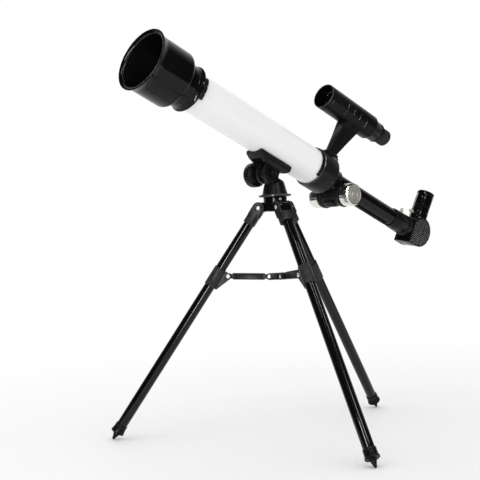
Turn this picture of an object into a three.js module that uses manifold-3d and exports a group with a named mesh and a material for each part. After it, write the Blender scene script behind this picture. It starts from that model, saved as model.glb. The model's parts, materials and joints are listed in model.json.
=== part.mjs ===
// Small refractor telescope on a folding table tripod.
// Millimetres, +Z up. The open end of the tube looks towards -X and the eyepiece end towards +X.
import * as THREE from 'three';
import { mergeVertices } from 'three/addons/utils/BufferGeometryUtils.js';
import Module from 'manifold-3d';

const wasm = await Module();
wasm.setup();

const DEG = Math.PI / 180;
const GAP = 0.3; // clearance between pieces that touch
const WIDE = 24; // facets round the large tubes
const NARROW = 16; // facets round the small tubes and turned parts
const FINE = 8; // facets round rivets, screws and their holes

// ---- Tripod --------------------------------------------------------------------------------
const LEG_COUNT = 3;
const FIRST_LEG_AZIMUTH = 10; // degrees from +X
const LEG_SPLAY = 35.34; // degrees from vertical
const LEG_LENGTH = 366.6; // hinge pin to foot tip
const LEG_TUBE_RADIUS = 7.05;
const HINGE = { radius: 22, height: 299 };
const HINGE_PIN_RADIUS = 2;

const CROWN = { radius: 15.4, bottom: 294, top: 312.7, lugHalf: 6.9, lugReach: 7.2 };
const HEAD = { cheekRadius: 8, cheekOuter: 9.4, socketStart: 12, socketEnd: 24.5, socketHalf: 7.75 };
const BRACKET = { start: 94, end: 121, radius: 8.25, webOuter: 3.4, webInner: 1.75 };
const ARM_PIVOT = { along: 97.2, inward: 14 }; // on the leg, measured from the hinge pin
const ARM = { thickness: 3, web: 0.7, height: 8.6, tongue: 6, droop: 3, hubRadius: 12.4 };
const HUB = { lobeHalf: 4.4, slotHalf: 1.85, cheek: 1.8, radius: 24, capRadius: 6.6, capBottom: 1.9 };
const FOOT = { capStart: 343, capRadius: 8.1, lipRadius: 9.2, lipEnd: 355.5, tipRadius: 1.9 };

// ---- Head ----------------------------------------------------------------------------------
const TURNTABLE = { radius: 21.5, bottom: 313, thickness: 3 };
const POST = { baseRadius: 16.8, neckRadius: 12.7, neckHeight: 332, cheekHalf: 4.4, cheekRadius: 10 };
const PIVOT = { forward: 12, height: 343.3 };
const ALTITUDE = 24; // degrees the tube points above level
const EAR = { radius: 13, inner: 4.8, outer: 8.4 };
const PIVOT_HOLE_RADIUS = 3.3;
const ALTITUDE_KNOB = { radius: 16.4, neck: 6.6, start: 8.8, gripStart: 18.5, end: 32.2, flutes: 14 };

// ---- Optical tube: x runs from the saddle's middle towards the eyepiece, z is square to the tube
const TUBE_ORIGIN = { forward: 8.5, height: 343.3 };
const TUBE_AXIS = 41.1;
const TUBE = { radius: 25, wall: 1.2, front: -181, back: 96 };
const SADDLE = {
  front: -35, back: 22.5, halfWidth: 14.2, bottom: 6, top: 18.4, railInner: 8.7, railTop: 9.6,
};
const HOOD = { front: -239, back: -182.5, radius: 37.2, lipRadius: 40.6, wall: 1.8 };
const CELL = { front: -190, back: -160.5, radius: 28.6, lipRadius: 30.6 };
const LENS = { radius: 24, front: -186.2, rim: 4 };
const HOUSING = { front: 67.5, back: 97.5, radius: 28, sleeveRadius: 15.6, sleeveEnd: 118 };

// ---- Focuser -------------------------------------------------------------------------------
const DRAW = { radius: 12.5, wall: 1.3, front: 70, back: 266 };
const MODULE = 0.8; // of the rack and its pinion
const PINION_TEETH = 10;
const PINION = { x: 126.6, drop: 18.2, shaftRadius: 2.5, gearHalf: 4 };
const DRUM = { radius: 16.5, waist: 14.8, half: 19, rim: 3.5 };
const KNOB = { radius: 15.6, start: 19.6, end: 36.4, flutes: 20 };
const RACK = { start: 96, end: 242, halfWidth: 3 };
const COLLAR = { start: 246, end: 285.4, frontRadius: 13.9, backRadius: 15.2 };

// ---- Star diagonal and eyepiece --------------------------------------------------------------
const DIAGONAL = { front: 285.8, radius: 22, halfWidth: 13.6, plate: 1.2 };
const DIAGONAL_TURN = 7.5; // degrees it leans to the near side
const BARREL = { front: 250, radius: 10.9, bore: 9.4 };
const DIAGONAL_SCREW_X = 268;
const EYE = { x: 303.3, socketRadius: 13.3, socketTop: 31, radius: 12.8, top: 63 };
const EYE_BARREL = { radius: 10.8, bottom: 8 };
const EYE_LENS = { radius: 7, drop: 4.5 };
const EYE_SCREW_HEIGHT = 26;
const THUMB = { headRadius: 2.4, headLength: 6.5, shankRadius: 1.3 };

// ---- Finder --------------------------------------------------------------------------------
const FINDER = {
  height: 102.5, front: 58.5, back: 158.5, radius: 17.8, tailRadius: 14.4, tailEnd: 177.5, wall: 1.6,
};
const FINDER_EYE = { radius: 11.8, end: 196.5, barrelRadius: 9.6 };
const STEM = { footFront: 86.5, footBack: 106, footHeight: 34.3, topFront: 97.5, topBack: 136 };

// ---- Finishes ------------------------------------------------------------------------------
const finish = (color, roughness, metalness) => ({ color, roughness, metalness });
const GLOSS_BLACK = finish(0x0b0b0c, 0.25, 0);
const SATIN_BLACK = finish(0x141415, 0.5, 0);
const BLACK_ALLOY = finish(0x101011, 0.3, 0.4);
const WHITE_ENAMEL = finish(0xf2f3f2, 0.25, 0);
const CHROME = finish(0xc8c8c6, 0.12, 1);
const STEEL = finish(0xb4b6b8, 0.3, 1);
const GLASS = finish(0x8fb0b4, 0.03, 0);
const SILVERED = finish(0xdadfe2, 0.03, 1);

// ---- Solid modelling -------------------------------------------------------------------------

/** Merges shared corners, drops the slivers that poles leave, and turns every face outwards. */
function closed(geometry) {
  const bare = geometry.clone();
  bare.deleteAttribute('normal');
  bare.deleteAttribute('uv');
  const merged = mergeVertices(bare, 1e-4);
  const corner = merged.index.array;
  const p = merged.attributes.position;
  const [a, b, c] = [new THREE.Vector3(), new THREE.Vector3(), new THREE.Vector3()];
  const kept = [];
  let volume = 0;
  for (let i = 0; i < corner.length; i += 3) {
    const [u, v, w] = [corner[i], corner[i + 1], corner[i + 2]];
    if (u === v || v === w || w === u) continue;
    kept.push(u, v, w);
    b.fromBufferAttribute(p, v).cross(c.fromBufferAttribute(p, w));
    volume += a.fromBufferAttribute(p, u).dot(b);
  }
  merged.setIndex(volume < 0 ? kept.reverse() : kept);
  return merged;
}

function toManifold(geometry) {
  const solid = closed(geometry);
  return new wasm.Manifold(new wasm.Mesh({
    numProp: 3,
    vertProperties: new Float32Array(solid.attributes.position.array),
    triVerts: new Uint32Array(solid.index.array),
  }));
}

function fromManifold(manifold) {
  const mesh = manifold.getMesh();
  const geometry = new THREE.BufferGeometry();
  geometry.setAttribute('position', new THREE.BufferAttribute(mesh.vertProperties, 3));
  geometry.setIndex(new THREE.BufferAttribute(mesh.triVerts, 1));
  return geometry;
}

function join(...geometries) {
  return fromManifold(geometries.map(toManifold).reduce((whole, next) => whole.add(next)));
}

function cut(geometry, ...tools) {
  const whole = toManifold(geometry);
  return fromManifold(tools.map(toManifold).reduce((rest, tool) => rest.subtract(tool), whole));
}

function common(geometry, other) {
  return fromManifold(toManifold(geometry).intersect(toManifold(other)));
}

const AXIS_TURN = {
  x: new THREE.Matrix4().makeRotationZ(-Math.PI / 2),
  y: new THREE.Matrix4(),
  z: new THREE.Matrix4().makeRotationX(Math.PI / 2),
};

/** Revolves [radius, along] points about an axis. A profile off the axis is closed on itself. */
function turned(axis, profile, segments = NARROW) {
  const points = profile.map(([radius, along]) => new THREE.Vector2(radius, along));
  const [first, last] = [points[0], points[points.length - 1]];
  if (first.x > 0 || last.x > 0) points.push(first.clone());
  return new THREE.LatheGeometry(points, segments).applyMatrix4(AXIS_TURN[axis]);
}

function rod(axis, radius, from, to, segments = NARROW) {
  return turned(axis, [[0, from], [radius, from], [radius, to], [0, to]], segments);
}

function pipe(axis, outer, inner, from, to, segments = NARROW) {
  return turned(axis, [[inner, from], [outer, from], [outer, to], [inner, to]], segments);
}

function box(fromX, toX, fromY, toY, fromZ, toZ) {
  const block = new THREE.BoxGeometry(toX - fromX, toY - fromY, toZ - fromZ);
  return block.translate((fromX + toX) / 2, (fromY + toY) / 2, (fromZ + toZ) / 2);
}

/** Points of a quarter or other arc, for profiles. Angles in degrees. */
function arc(centreA, centreB, radius, from, to, steps = 5) {
  return Array.from({ length: steps + 1 }, (_, i) => {
    const angle = (from + (to - from) * i / steps) * DEG;
    return [centreA + radius * Math.cos(angle), centreB + radius * Math.sin(angle)];
  });
}

const EXTRUDE_BASIS = {
  // outline in y-z, depth along x
  x: new THREE.Matrix4().makeBasis(
    new THREE.Vector3(0, 1, 0), new THREE.Vector3(0, 0, 1), new THREE.Vector3(1, 0, 0)),
  // outline in x-z, depth along -y
  y: new THREE.Matrix4().makeRotationX(Math.PI / 2),
  // outline in x-y, depth along z
  z: new THREE.Matrix4(),
};

/** Extrudes an outline, given as points, between two places on an axis. */
function extruded(axis, outline, from, to) {
  const shape = new THREE.Shape(outline.map(([a, b]) => new THREE.Vector2(a, b)));
  const geometry = new THREE.ExtrudeGeometry(shape, { depth: to - from, bevelEnabled: false });
  geometry.translate(0, 0, axis === 'y' ? -to : from);
  return geometry.applyMatrix4(EXTRUDE_BASIS[axis]);
}

/** Round outline with hollows between its ribs, as on a knob's grip. */
function flutedOutline(radius, depth, flutes, stepsPerFlute = 4) {
  const count = flutes * stepsPerFlute;
  return Array.from({ length: count }, (_, i) => {
    const angle = 2 * Math.PI * i / count;
    const r = radius - depth * (0.5 - 0.5 * Math.cos(flutes * angle));
    return [r * Math.cos(angle), r * Math.sin(angle)];
  });
}

function mesh(name, geometry, look) {
  const body = closed(geometry);
  body.computeVertexNormals();
  const result = new THREE.Mesh(body, new THREE.MeshStandardMaterial(look));
  result.name = name;
  return result;
}

function group(...children) {
  const result = new THREE.Group();
  result.add(...children);
  return result;
}

// ---- Tripod crown ----------------------------------------------------------------------------
// The fixed hub under the turntable, with one lug for each leg and a recess for the swivel bolt.
const SWIVEL_BOLT = { radius: 4, headRadius: 6.5, headHeight: 4, recessRadius: 9, recess: 5 };

function crownLug() {
  const reach = HINGE.radius + CROWN.lugReach;
  const drop = HINGE.height - CROWN.lugReach;
  const crest = HINGE.height + CROWN.lugReach;
  const outline = [
    [CROWN.radius - 4, CROWN.bottom + 1.5], [HINGE.radius - 4, drop],
    ...arc(HINGE.radius, HINGE.height, CROWN.lugReach, -90, 90, 6),
    [CROWN.radius - 4, crest],
  ];
  const lug = extruded('y', outline, -CROWN.lugHalf, CROWN.lugHalf);
  const pinHole = rod('y', HINGE_PIN_RADIUS + GAP, -reach, reach, FINE);
  return cut(lug, pinHole.translate(HINGE.radius, 0, HINGE.height));
}

function crown() {
  const hub = turned('z', [
    [0, CROWN.bottom], [CROWN.radius - 1, CROWN.bottom], [CROWN.radius, CROWN.bottom + 1],
    [CROWN.radius, CROWN.top], [0, CROWN.top],
  ]);
  const lugs = legAzimuths().map((azimuth) => crownLug().rotateZ(azimuth * DEG));
  const bore = rod('z', SWIVEL_BOLT.radius + GAP, CROWN.bottom - 1, CROWN.top + 1, 16);
  const recess = rod('z', SWIVEL_BOLT.recessRadius, CROWN.bottom - 1, CROWN.bottom + SWIVEL_BOLT.recess, 16);
  const screwSeat = rod('x', TENSION_SCREW.shank + GAP, CROWN.radius - 7, CROWN.radius + 2, FINE)
    .translate(0, 0, TENSION_SCREW.height).rotateZ(TENSION_SCREW.azimuth * DEG);
  return mesh('crown_hub', cut(join(hub, ...lugs), bore, recess, screwSeat), SATIN_BLACK);
}

/** Small screw in the crown that sets how stiffly the turntable swivels. */
const TENSION_SCREW = { azimuth: FIRST_LEG_AZIMUTH - 120, height: 309.4, shank: 1.1, head: 2 };

function tensionScrew() {
  const { shank, head } = TENSION_SCREW;
  const { radius } = CROWN;
  const screw = turned('x', [
    [0, radius - 6], [shank, radius - 6], [shank, radius + GAP], [head, radius + GAP],
    [head, radius + 1.2], [head - 0.5, radius + 1.7], [0, radius + 1.7],
  ], FINE);
  const slot = box(radius + 1.2, radius + 3, -3, 3, -0.3, 0.3);
  const placed = cut(screw, slot).translate(0, 0, TENSION_SCREW.height);
  return mesh('azimuth_tension_screw', placed.rotateZ(TENSION_SCREW.azimuth * DEG), STEEL);
}

function legAzimuths() {
  return Array.from({ length: LEG_COUNT }, (_, i) => FIRST_LEG_AZIMUTH + i * 360 / LEG_COUNT);
}

// ---- Legs: x runs down the leg from its hinge pin, z points out and up, y is along the pin -----

function rivet(name, radius, headRadius, headHeight, half, look) {
  const profile = [
    [0, -half - headHeight], [headRadius * 0.7, -half - headHeight], [headRadius, -half],
    [radius, -half], [radius, half],
    [headRadius, half], [headRadius * 0.7, half + headHeight], [0, half + headHeight],
  ];
  return mesh(name, turned('y', profile, FINE), look);
}

function legHead(number) {
  const cheeks = extruded('y', [
    ...arc(0, 0, HEAD.cheekRadius, 100, 260, 6),
    [HEAD.socketStart + 1, -HEAD.socketHalf], [HEAD.socketStart + 1, HEAD.socketHalf],
  ], -HEAD.cheekOuter, HEAD.cheekOuter);
  const half = HEAD.socketHalf;
  const corner = 3.5;
  const side = HEAD.cheekOuter - corner;
  const socket = extruded('x', [
    ...arc(side, half - corner, corner, 0, 90, 2), ...arc(-side, half - corner, corner, 90, 180, 2),
    ...arc(-side, -half + corner, corner, 180, 270, 2), ...arc(side, -half + corner, corner, 270, 360, 2),
  ], HEAD.socketStart, HEAD.socketEnd);
  const slotHalf = CROWN.lugHalf + GAP;
  const slot = box(-HEAD.cheekRadius - 1, HEAD.socketStart - 1.5, -slotHalf, slotHalf, -20, 20);
  const bore = rod('x', LEG_TUBE_RADIUS + GAP, HEAD.socketStart + 2, HEAD.socketEnd + 1);
  const pinHole = rod('y', HINGE_PIN_RADIUS + GAP, -20, 20, FINE);
  return mesh(`leg_head_${number}`, cut(join(cheeks, socket), slot, bore, pinHole), SATIN_BLACK);
}

function legTube(number) {
  const start = HEAD.socketStart + 2 + GAP;
  const tube = pipe('x', LEG_TUBE_RADIUS, LEG_TUBE_RADIUS - 1, start, FOOT.lipEnd - 5);
  return mesh(`leg_tube_${number}`, tube, BLACK_ALLOY);
}

/** Sleeve clamped on the leg, with two web plates that carry the spreader arm's rivet. */
function legBracket(number) {
  const sleeve = pipe('x', BRACKET.radius, LEG_TUBE_RADIUS + GAP, BRACKET.start, BRACKET.end);
  const { along, inward } = ARM_PIVOT;
  const web = [
    [BRACKET.start, -BRACKET.radius + 0.6], [BRACKET.end, -BRACKET.radius + 0.6], [BRACKET.end, -10],
    ...arc(along, -inward, 4.4, -60, -180, 4), [BRACKET.start, -12],
  ];
  const plates = [-1, 1].map((side) => {
    const [from, to] = [BRACKET.webInner * side, BRACKET.webOuter * side].sort((p, q) => p - q);
    return extruded('y', web, from, to);
  });
  const pinHole = rod('y', 1.9, -9, 9, FINE).translate(along, 0, -inward);
  return mesh(`leg_bracket_${number}`, cut(join(sleeve, ...plates), pinHole), SATIN_BLACK);
}

/** Push-on cap with a flared lip and a ribbed, rounded spike. */
function footCap(number) {
  const { capStart, capRadius, lipRadius, lipEnd, tipRadius } = FOOT;
  const bore = LEG_TUBE_RADIUS + GAP;
  const floor = lipEnd - 5 + GAP;
  const shell = turned('x', [
    [bore, capStart], [capRadius, capStart], [capRadius + 0.3, lipEnd - 4], [lipRadius, lipEnd - 2],
    [lipRadius, lipEnd], [4.4, lipEnd],
    ...arc(0, LEG_LENGTH - tipRadius, tipRadius, 0, 90, 2), [0, floor], [bore, floor],
  ], 12);
  const spikeLength = LEG_LENGTH - 2.5 - lipEnd;
  const rib = extruded('y', [
    [lipEnd - 0.5, -5.8], [lipEnd + spikeLength, -1.6], [lipEnd + spikeLength, 1.6], [lipEnd - 0.5, 5.8],
  ], -0.7, 0.7);
  const ribs = [0, 1].map((i) => rib.clone().rotateX(i * Math.PI / 2));
  return mesh(`foot_cap_${number}`, join(shell, ...ribs), SATIN_BLACK);
}

/** Flat spreader arm, from its rivet on the leg at x = 0 to the middle hub at x = armLength(). */
function spreaderArm(number) {
  const length = armLength();
  const half = ARM.height / 2;
  const tongue = ARM.tongue / 2;
  const bar = extruded('y', [
    ...arc(0, 0, tongue, 90, 270, 5), [5.5, -tongue], [6.5, -half], [length - 6.5, -half],
    [length - 5.5, -tongue], ...arc(length - 0.6, 0, tongue, -90, 90, 5), [length - 5.5, tongue],
    [length - 6.5, half], [6.5, half], [5.5, tongue],
  ], -ARM.thickness / 2, ARM.thickness / 2);
  const channels = [-1, 1].map((side) => {
    const [from, to] = [side * ARM.web, side * ARM.thickness].sort((p, q) => p - q);
    return extruded('y', [
      [8.5, -half + 1.4], [length - 8.5, -half + 1.4], [length - 8.5, half - 1.4], [8.5, half - 1.4],
    ], from, to);
  });
  const pinHole = rod('y', 1.9, -9, 9, FINE);
  return mesh(`spreader_arm_${number}`, cut(bar, pinHole, ...channels), SATIN_BLACK);
}

function armPivot() {
  const splay = LEG_SPLAY * DEG;
  return {
    radius: HINGE.radius + ARM_PIVOT.along * Math.sin(splay) - ARM_PIVOT.inward * Math.cos(splay),
    height: HINGE.height - ARM_PIVOT.along * Math.cos(splay) - ARM_PIVOT.inward * Math.sin(splay),
  };
}

function armLength() {
  return (armPivot().radius - ARM.hubRadius) / Math.cos(ARM.droop * DEG);
}

function hubHeight() {
  return armPivot().height - armLength() * Math.sin(ARM.droop * DEG);
}

/** Middle of the spreader: three slotted lobes that the arms fold between, joined by a cap on top. */
function spreaderHub() {
  const { lobeHalf, slotHalf, radius, capRadius, capBottom } = HUB;
  const outer = slotHalf + HUB.cheek;
  const lobes = [];
  const slots = [];
  for (const azimuth of legAzimuths()) {
    const lobe = extruded('y', [
      [0, -lobeHalf], ...arc(ARM.hubRadius, 0, lobeHalf, -90, 90, 5), [0, lobeHalf],
    ], -outer, outer);
    const heads = rod('y', 2.4, -outer - 0.9, outer + 0.9, FINE).translate(ARM.hubRadius, 0, 0);
    lobes.push(join(lobe, heads).rotateZ(azimuth * DEG));
    slots.push(box(0, radius, -slotHalf, slotHalf, -9, 9).rotateZ(azimuth * DEG));
  }
  const cap = turned('z', [[0, capBottom], [capRadius, capBottom], [capRadius, lobeHalf], [0, lobeHalf]]);
  const hub = mesh('spreader_hub', join(cut(join(...lobes), ...slots), cap), SATIN_BLACK);
  hub.position.z = hubHeight();
  return hub;
}

function leg(number, azimuth) {
  const parts = group(legHead(number), legTube(number), legBracket(number), footCap(number));
  const armRivet = rivet(`arm_rivet_${number}`, 1.6, 2.9, 1.1, BRACKET.webOuter + GAP, STEEL);
  armRivet.position.set(ARM_PIVOT.along, 0, -ARM_PIVOT.inward);
  parts.add(armRivet);
  parts.position.set(HINGE.radius, 0, HINGE.height);
  parts.rotation.y = (90 - LEG_SPLAY) * DEG;

  const hingePin = rivet(`leg_rivet_${number}`, HINGE_PIN_RADIUS, 3.3, 1.3, HEAD.cheekOuter + GAP, STEEL);
  hingePin.position.set(HINGE.radius, 0, HINGE.height);

  const arm = spreaderArm(number);
  arm.position.set(armPivot().radius, 0, armPivot().height);
  arm.rotation.y = Math.PI - ARM.droop * DEG;

  const side = group(parts, hingePin, arm);
  side.rotation.z = azimuth * DEG;
  return side;
}

// ---- Turntable post --------------------------------------------------------------------------

/** Round table and cone, with a flat cheek that leans out in front for the saddle's ears to clasp. */
function turntablePost() {
  const { radius, bottom, thickness } = TURNTABLE;
  const { baseRadius, neckRadius, neckHeight, cheekHalf, cheekRadius } = POST;
  const { forward, height } = PIVOT;
  const top = bottom + thickness;
  const cone = turned('z', [
    [0, bottom], [radius - 0.8, bottom], [radius, bottom + 0.8], [radius, top - 0.8],
    [radius - 0.8, top], [baseRadius, top], [neckRadius, neckHeight],
    [neckRadius - 3, neckHeight + 3], [4.5, neckHeight + 5], [0, neckHeight + 5],
  ], WIDE);
  const cheek = extruded('y', [
    [neckRadius - 2, neckHeight], [5, neckHeight + 5], [-0.5, neckHeight + 9],
    ...arc(-forward, height, cheekRadius, 30, 210, 7), [-neckRadius + 1, neckHeight - 4],
  ], -cheekHalf, cheekHalf);
  const earRoom = [-1, 1].map((side) => {
    const [from, to] = [cheekHalf * side, 20 * side].sort((p, q) => p - q);
    return rod('y', EAR.radius + 1, from, to).translate(-forward, 0, height);
  });
  const pivotHole = rod('y', PIVOT_HOLE_RADIUS, -30, 30, FINE).translate(-forward, 0, height);
  const swivelHole = rod('z', SWIVEL_BOLT.radius + GAP, bottom - 1, top + 6, 16);
  return mesh('turntable_post', cut(join(cone, cheek), ...earRoom, pivotHole, swivelHole), SATIN_BLACK);
}

/** Bolt through the crown that the turntable swivels on; its hexagon head hides in the recess. */
function swivelBolt() {
  const headTop = CROWN.bottom + SWIVEL_BOLT.recess - GAP;
  const shank = rod('z', SWIVEL_BOLT.radius, headTop - 1, TURNTABLE.bottom + TURNTABLE.thickness + 5, 16);
  const head = rod('z', SWIVEL_BOLT.headRadius, headTop - SWIVEL_BOLT.headHeight, headTop, 6);
  return mesh('swivel_bolt', join(shank, head), STEEL);
}

/** Altitude pivot: a round boss outside the near ear and a shank that the knob screws onto. */
function pivotBolt() {
  const face = EAR.outer + 5.4;
  const profile = [
    [0, -face], [3.6, -face], [4.6, -face + 1], [4.6, -EAR.outer - GAP],
    [3, -EAR.outer - GAP], [3, ALTITUDE_KNOB.end - 6], [0, ALTITUDE_KNOB.end - 6],
  ];
  const bolt = mesh('pivot_bolt', turned('y', profile), SATIN_BLACK);
  bolt.position.set(-PIVOT.forward, 0, PIVOT.height);
  return bolt;
}

/** Fluted knob on the far side, on a neck long enough to stand clear of the saddle's rail. */
function altitudeKnob() {
  const { radius, neck, start, gripStart, end, flutes } = ALTITUDE_KNOB;
  const grip = extruded('y', flutedOutline(radius, 1.1, flutes, 3), gripStart, end - 3);
  const core = turned('y', [
    [0, start], [neck, start], [neck, SADDLE.halfWidth + 0.8], [radius - 4, SADDLE.halfWidth + 1.6],
    [radius - 2, gripStart + 1], [radius - 1.5, end - 3.5], [radius - 3.5, end], [0, end],
  ]);
  const bore = rod('y', 3 + GAP, start - 1, end - 6 + GAP * 2, FINE);
  const dish = turned('y', [[0, end - 1.5], [radius - 6, end - 1.5], [radius - 5, end + 1], [0, end + 1]]);
  const knob = mesh('altitude_knob', cut(join(grip, core), bore, dish), SATIN_BLACK);
  knob.position.set(-PIVOT.forward, 0, PIVOT.height);
  return knob;
}

// ---- Optical tube ----------------------------------------------------------------------------

/** The pivot's place in the tube's own x and z. */
function pivotOnTube() {
  const back = TUBE_ORIGIN.forward - PIVOT.forward;
  return { x: back * Math.cos(ALTITUDE * DEG), z: back * Math.sin(ALTITUDE * DEG) };
}

/** Cradle under the tube: two side rails, a concave seat, and an ear on each side of the post. */
function tubeSaddle() {
  const { front, back, halfWidth, bottom, top, railInner, railTop } = SADDLE;
  const section = [
    [-halfWidth, top], [-halfWidth, bottom + 4.5], [-halfWidth + 3.5, bottom], [-railInner, bottom],
    [-railInner, railTop], [railInner, railTop],
    [railInner, bottom], [halfWidth - 3.5, bottom], [halfWidth, bottom + 4.5], [halfWidth, top],
  ];
  const block = extruded('x', section, front, back);
  const profile = extruded('y', [
    [front, 30], [front, 14.5], [front + 13, bottom], [back - 7, bottom], [back - 1.5, bottom + 3.5],
    [back, bottom + 8], [back, 30],
  ], -halfWidth, halfWidth);
  const pivot = pivotOnTube();
  const ears = [-1, 1].map((side) => {
    const [from, to] = [EAR.inner * side, EAR.outer * side].sort((p, q) => p - q);
    return extruded('y', [
      ...arc(0, 0, EAR.radius, 180, 360, 8), [EAR.radius, railTop + 4], [-EAR.radius, railTop + 4],
    ], from, to).translate(pivot.x, 0, pivot.z);
  });
  const seat = rod('x', TUBE.radius + GAP, front - 1, back + 1, WIDE).translate(0, 0, TUBE_AXIS);
  const pivotHole = rod('y', PIVOT_HOLE_RADIUS, -30, 30, FINE).translate(pivot.x, 0, pivot.z);
  return mesh('tube_saddle', cut(join(common(block, profile), ...ears), seat, pivotHole), SATIN_BLACK);
}

const onAxis = (geometry) => geometry.translate(0, 0, TUBE_AXIS);

function mainTube() {
  const { radius, wall, front, back } = TUBE;
  return mesh('main_tube', onAxis(pipe('x', radius, radius - wall, front, back, WIDE)), WHITE_ENAMEL);
}

/** Cell that holds the objective on the tube; its back edge is a raised lip. */
function lensCell() {
  const { front, back, radius, lipRadius } = CELL;
  const bore = TUBE.radius + GAP;
  return mesh('lens_cell', onAxis(turned('x', [
    [bore, back], [lipRadius - 0.6, back], [lipRadius, back - 0.8], [lipRadius, back - 2.8],
    [lipRadius - 0.8, back - 3.5], [radius, back - 4], [radius, front], [LENS.radius + GAP, front],
    [LENS.radius + GAP, LENS.front + LENS.rim + GAP], [22, LENS.front + LENS.rim + GAP],
    [22, TUBE.front - GAP * 0.5], [bore, TUBE.front - GAP * 0.5],
  ], WIDE)), GLOSS_BLACK);
}

function objectiveLens() {
  const { radius, front, rim } = LENS;
  const bulge = 2.2;
  return mesh('objective_lens', onAxis(turned('x', [
    [0, front - bulge], [radius * 0.5, front - bulge * 0.72], [radius * 0.82, front - bulge * 0.25],
    [radius, front + 0.2], [radius, front + rim], [21.5, front + rim], [0, front + rim + 0.6],
  ])), GLASS);
}

/** Threaded ring in front of the lens, with two slots for the key. */
function retainingRing() {
  const [inner, outer] = [21.2, LENS.radius];
  const [from, to] = [CELL.front + 0.2, LENS.front - 0.8];
  const ring = pipe('x', outer, inner, from, to);
  const keySlots = box(from - 1, from + 1.4, -1.2, 1.2, -30, 30);
  return mesh('lens_retaining_ring', onAxis(cut(ring, keySlots)), SATIN_BLACK);
}

/** Small moulded catch behind the cell's lip, on the near side of the tube. */
function cellClip() {
  const [from, to] = [CELL.back + GAP, CELL.back + 5.4];
  const band = pipe('x', 29.6, TUBE.radius + GAP, from, to, WIDE);
  const middle = -4 * DEG;
  const half = 29 * DEG;
  const reach = 60;
  const sector = extruded('x', [
    [0, 0], [-reach * Math.cos(middle - half), reach * Math.sin(middle - half)],
    [-reach * 1.2 * Math.cos(middle), reach * 1.2 * Math.sin(middle)],
    [-reach * Math.cos(middle + half), reach * Math.sin(middle + half)],
  ], from - 1, to + 1);
  const notches = [-7, 3].map((height) => box(to - 2.2, to + 1, -40, -27.2, height - 1.2, height + 1.2));
  return mesh('cell_clip', onAxis(cut(common(band, sector), ...notches)), SATIN_BLACK);
}

/** Open hood pushed onto the cell, with a rolled front lip and a rounded shoulder. */
function dewShield() {
  const { front, back, radius, lipRadius, wall } = HOOD;
  const shoulder = 6;
  const hole = CELL.radius + GAP;
  return mesh('dew_shield', onAxis(turned('x', [
    [radius - wall + 1.4, front], [lipRadius - 0.6, front], [lipRadius, front + 0.8],
    [lipRadius - 0.7, front + 2.4], [radius + 0.4, front + 4],
    ...arc(radius - shoulder, back - shoulder, shoulder, 0, 75, 3), [hole, back],
    [hole, back - wall - 1.4], ...arc(radius - wall - 5, back - wall - 6.4, 5, 90, 0, 2),
    [radius - wall + 0.2, front + 4],
  ], WIDE)), GLOSS_BLACK);
}

/** Room for the pinion's teeth, half of it in the housing and half in the cover. */
function pinionPocket() {
  return rod('y', 5.6, -PINION.gearHalf - GAP, PINION.gearHalf + GAP, 16);
}

/** Rear moulding: grips the tube, steps down to the draw-tube sleeve and holds the upper bearings. */
function rearHousing() {
  const { front, back, radius, sleeveRadius, sleeveEnd } = HOUSING;
  const bore = TUBE.radius + GAP;
  const barrel = turned('x', [
    [0, front + 8], [bore, front + 8], [bore, front], [radius - 1, front], [radius, front + 1.2],
    ...arc(radius - 2.5, back - 2.5, 2.5, 0, 80, 2),
    [sleeveRadius + 4, back + 2.5], [sleeveRadius, back + 7], [sleeveRadius, sleeveEnd], [0, sleeveEnd],
  ], WIDE);
  const rearCheek = rod('y', DRUM.radius, -DRUM.half, DRUM.half)
    .translate(PINION.x, 0, -PINION.drop);
  const cheekTop = box(PINION.x - 20, PINION.x + 20, -DRUM.half, DRUM.half, -PINION.drop + GAP / 2, 5);
  const bearings = cut(common(rearCheek, cheekTop), box(PINION.x - 30, PINION.x + 30, -9, 9, -60, -17.5));
  const bridge = box(back - 3, PINION.x, -DRUM.half + 4, DRUM.half - 4, -PINION.drop + 1, -6);
  const shoe = box(STEM.footFront, STEM.footBack + 3, -5, 5, 12, STEM.footHeight - GAP);
  const ring = pipe('x', 26.9, bore, front - 4, front + 2, WIDE);
  const collar = common(ring, box(front - 5, front + 3, -40, 40, -16, 40));
  const tubeBore = rod('x', bore, front - 20, TUBE.back + GAP, WIDE);
  const drawBore = rod('x', DRAW.radius + GAP, front, 200);
  const rackSlot = box(front, 200, -RACK.halfWidth - GAP, RACK.halfWidth + GAP, -PINION.drop + 1.5, 0);
  const shaftBore = rod('y', PINION.shaftRadius + GAP, -40, 40, 16).translate(PINION.x, 0, -PINION.drop);
  const gearPocket = pinionPocket().translate(PINION.x, 0, -PINION.drop);
  const body = join(barrel, bearings, bridge, shoe, collar);
  const housing = cut(body, tubeBore, drawBore, rackSlot, shaftBore, gearPocket);
  return mesh('rear_housing', onAxis(housing), SATIN_BLACK);
}

/** Lower half of the pinion drum, screwed up against the housing. */
function pinionCover() {
  const { radius, waist, half, rim } = DRUM;
  const drum = turned('y', [
    [0, -half], [radius - 0.6, -half], [radius, -half + 0.6], [radius, -half + rim],
    [waist, -half + rim + 1.5], [waist, half - rim - 1.5], [radius, half - rim],
    [radius, half - 0.6], [radius - 0.6, half], [0, half],
  ]);
  const lower = box(-30, 30, -30, 30, -30, -GAP / 2);
  const pad = box(-11, 2, -8, 8, -waist - 1, -waist + 4);
  const ribs = [-7.5, -4.5, -1.5].map((x) => box(x - 0.5, x + 0.5, -6.5, 6.5, -waist - 1.8, -waist));
  const shaftBore = rod('y', PINION.shaftRadius + GAP, -40, 40, 16);
  const cover = cut(join(common(drum, lower), pad, ...ribs), shaftBore, pinionPocket());
  return mesh('pinion_cover', onAxis(cover.translate(PINION.x, 0, -PINION.drop)), SATIN_BLACK);
}

// ---- Focuser ---------------------------------------------------------------------------------

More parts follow.
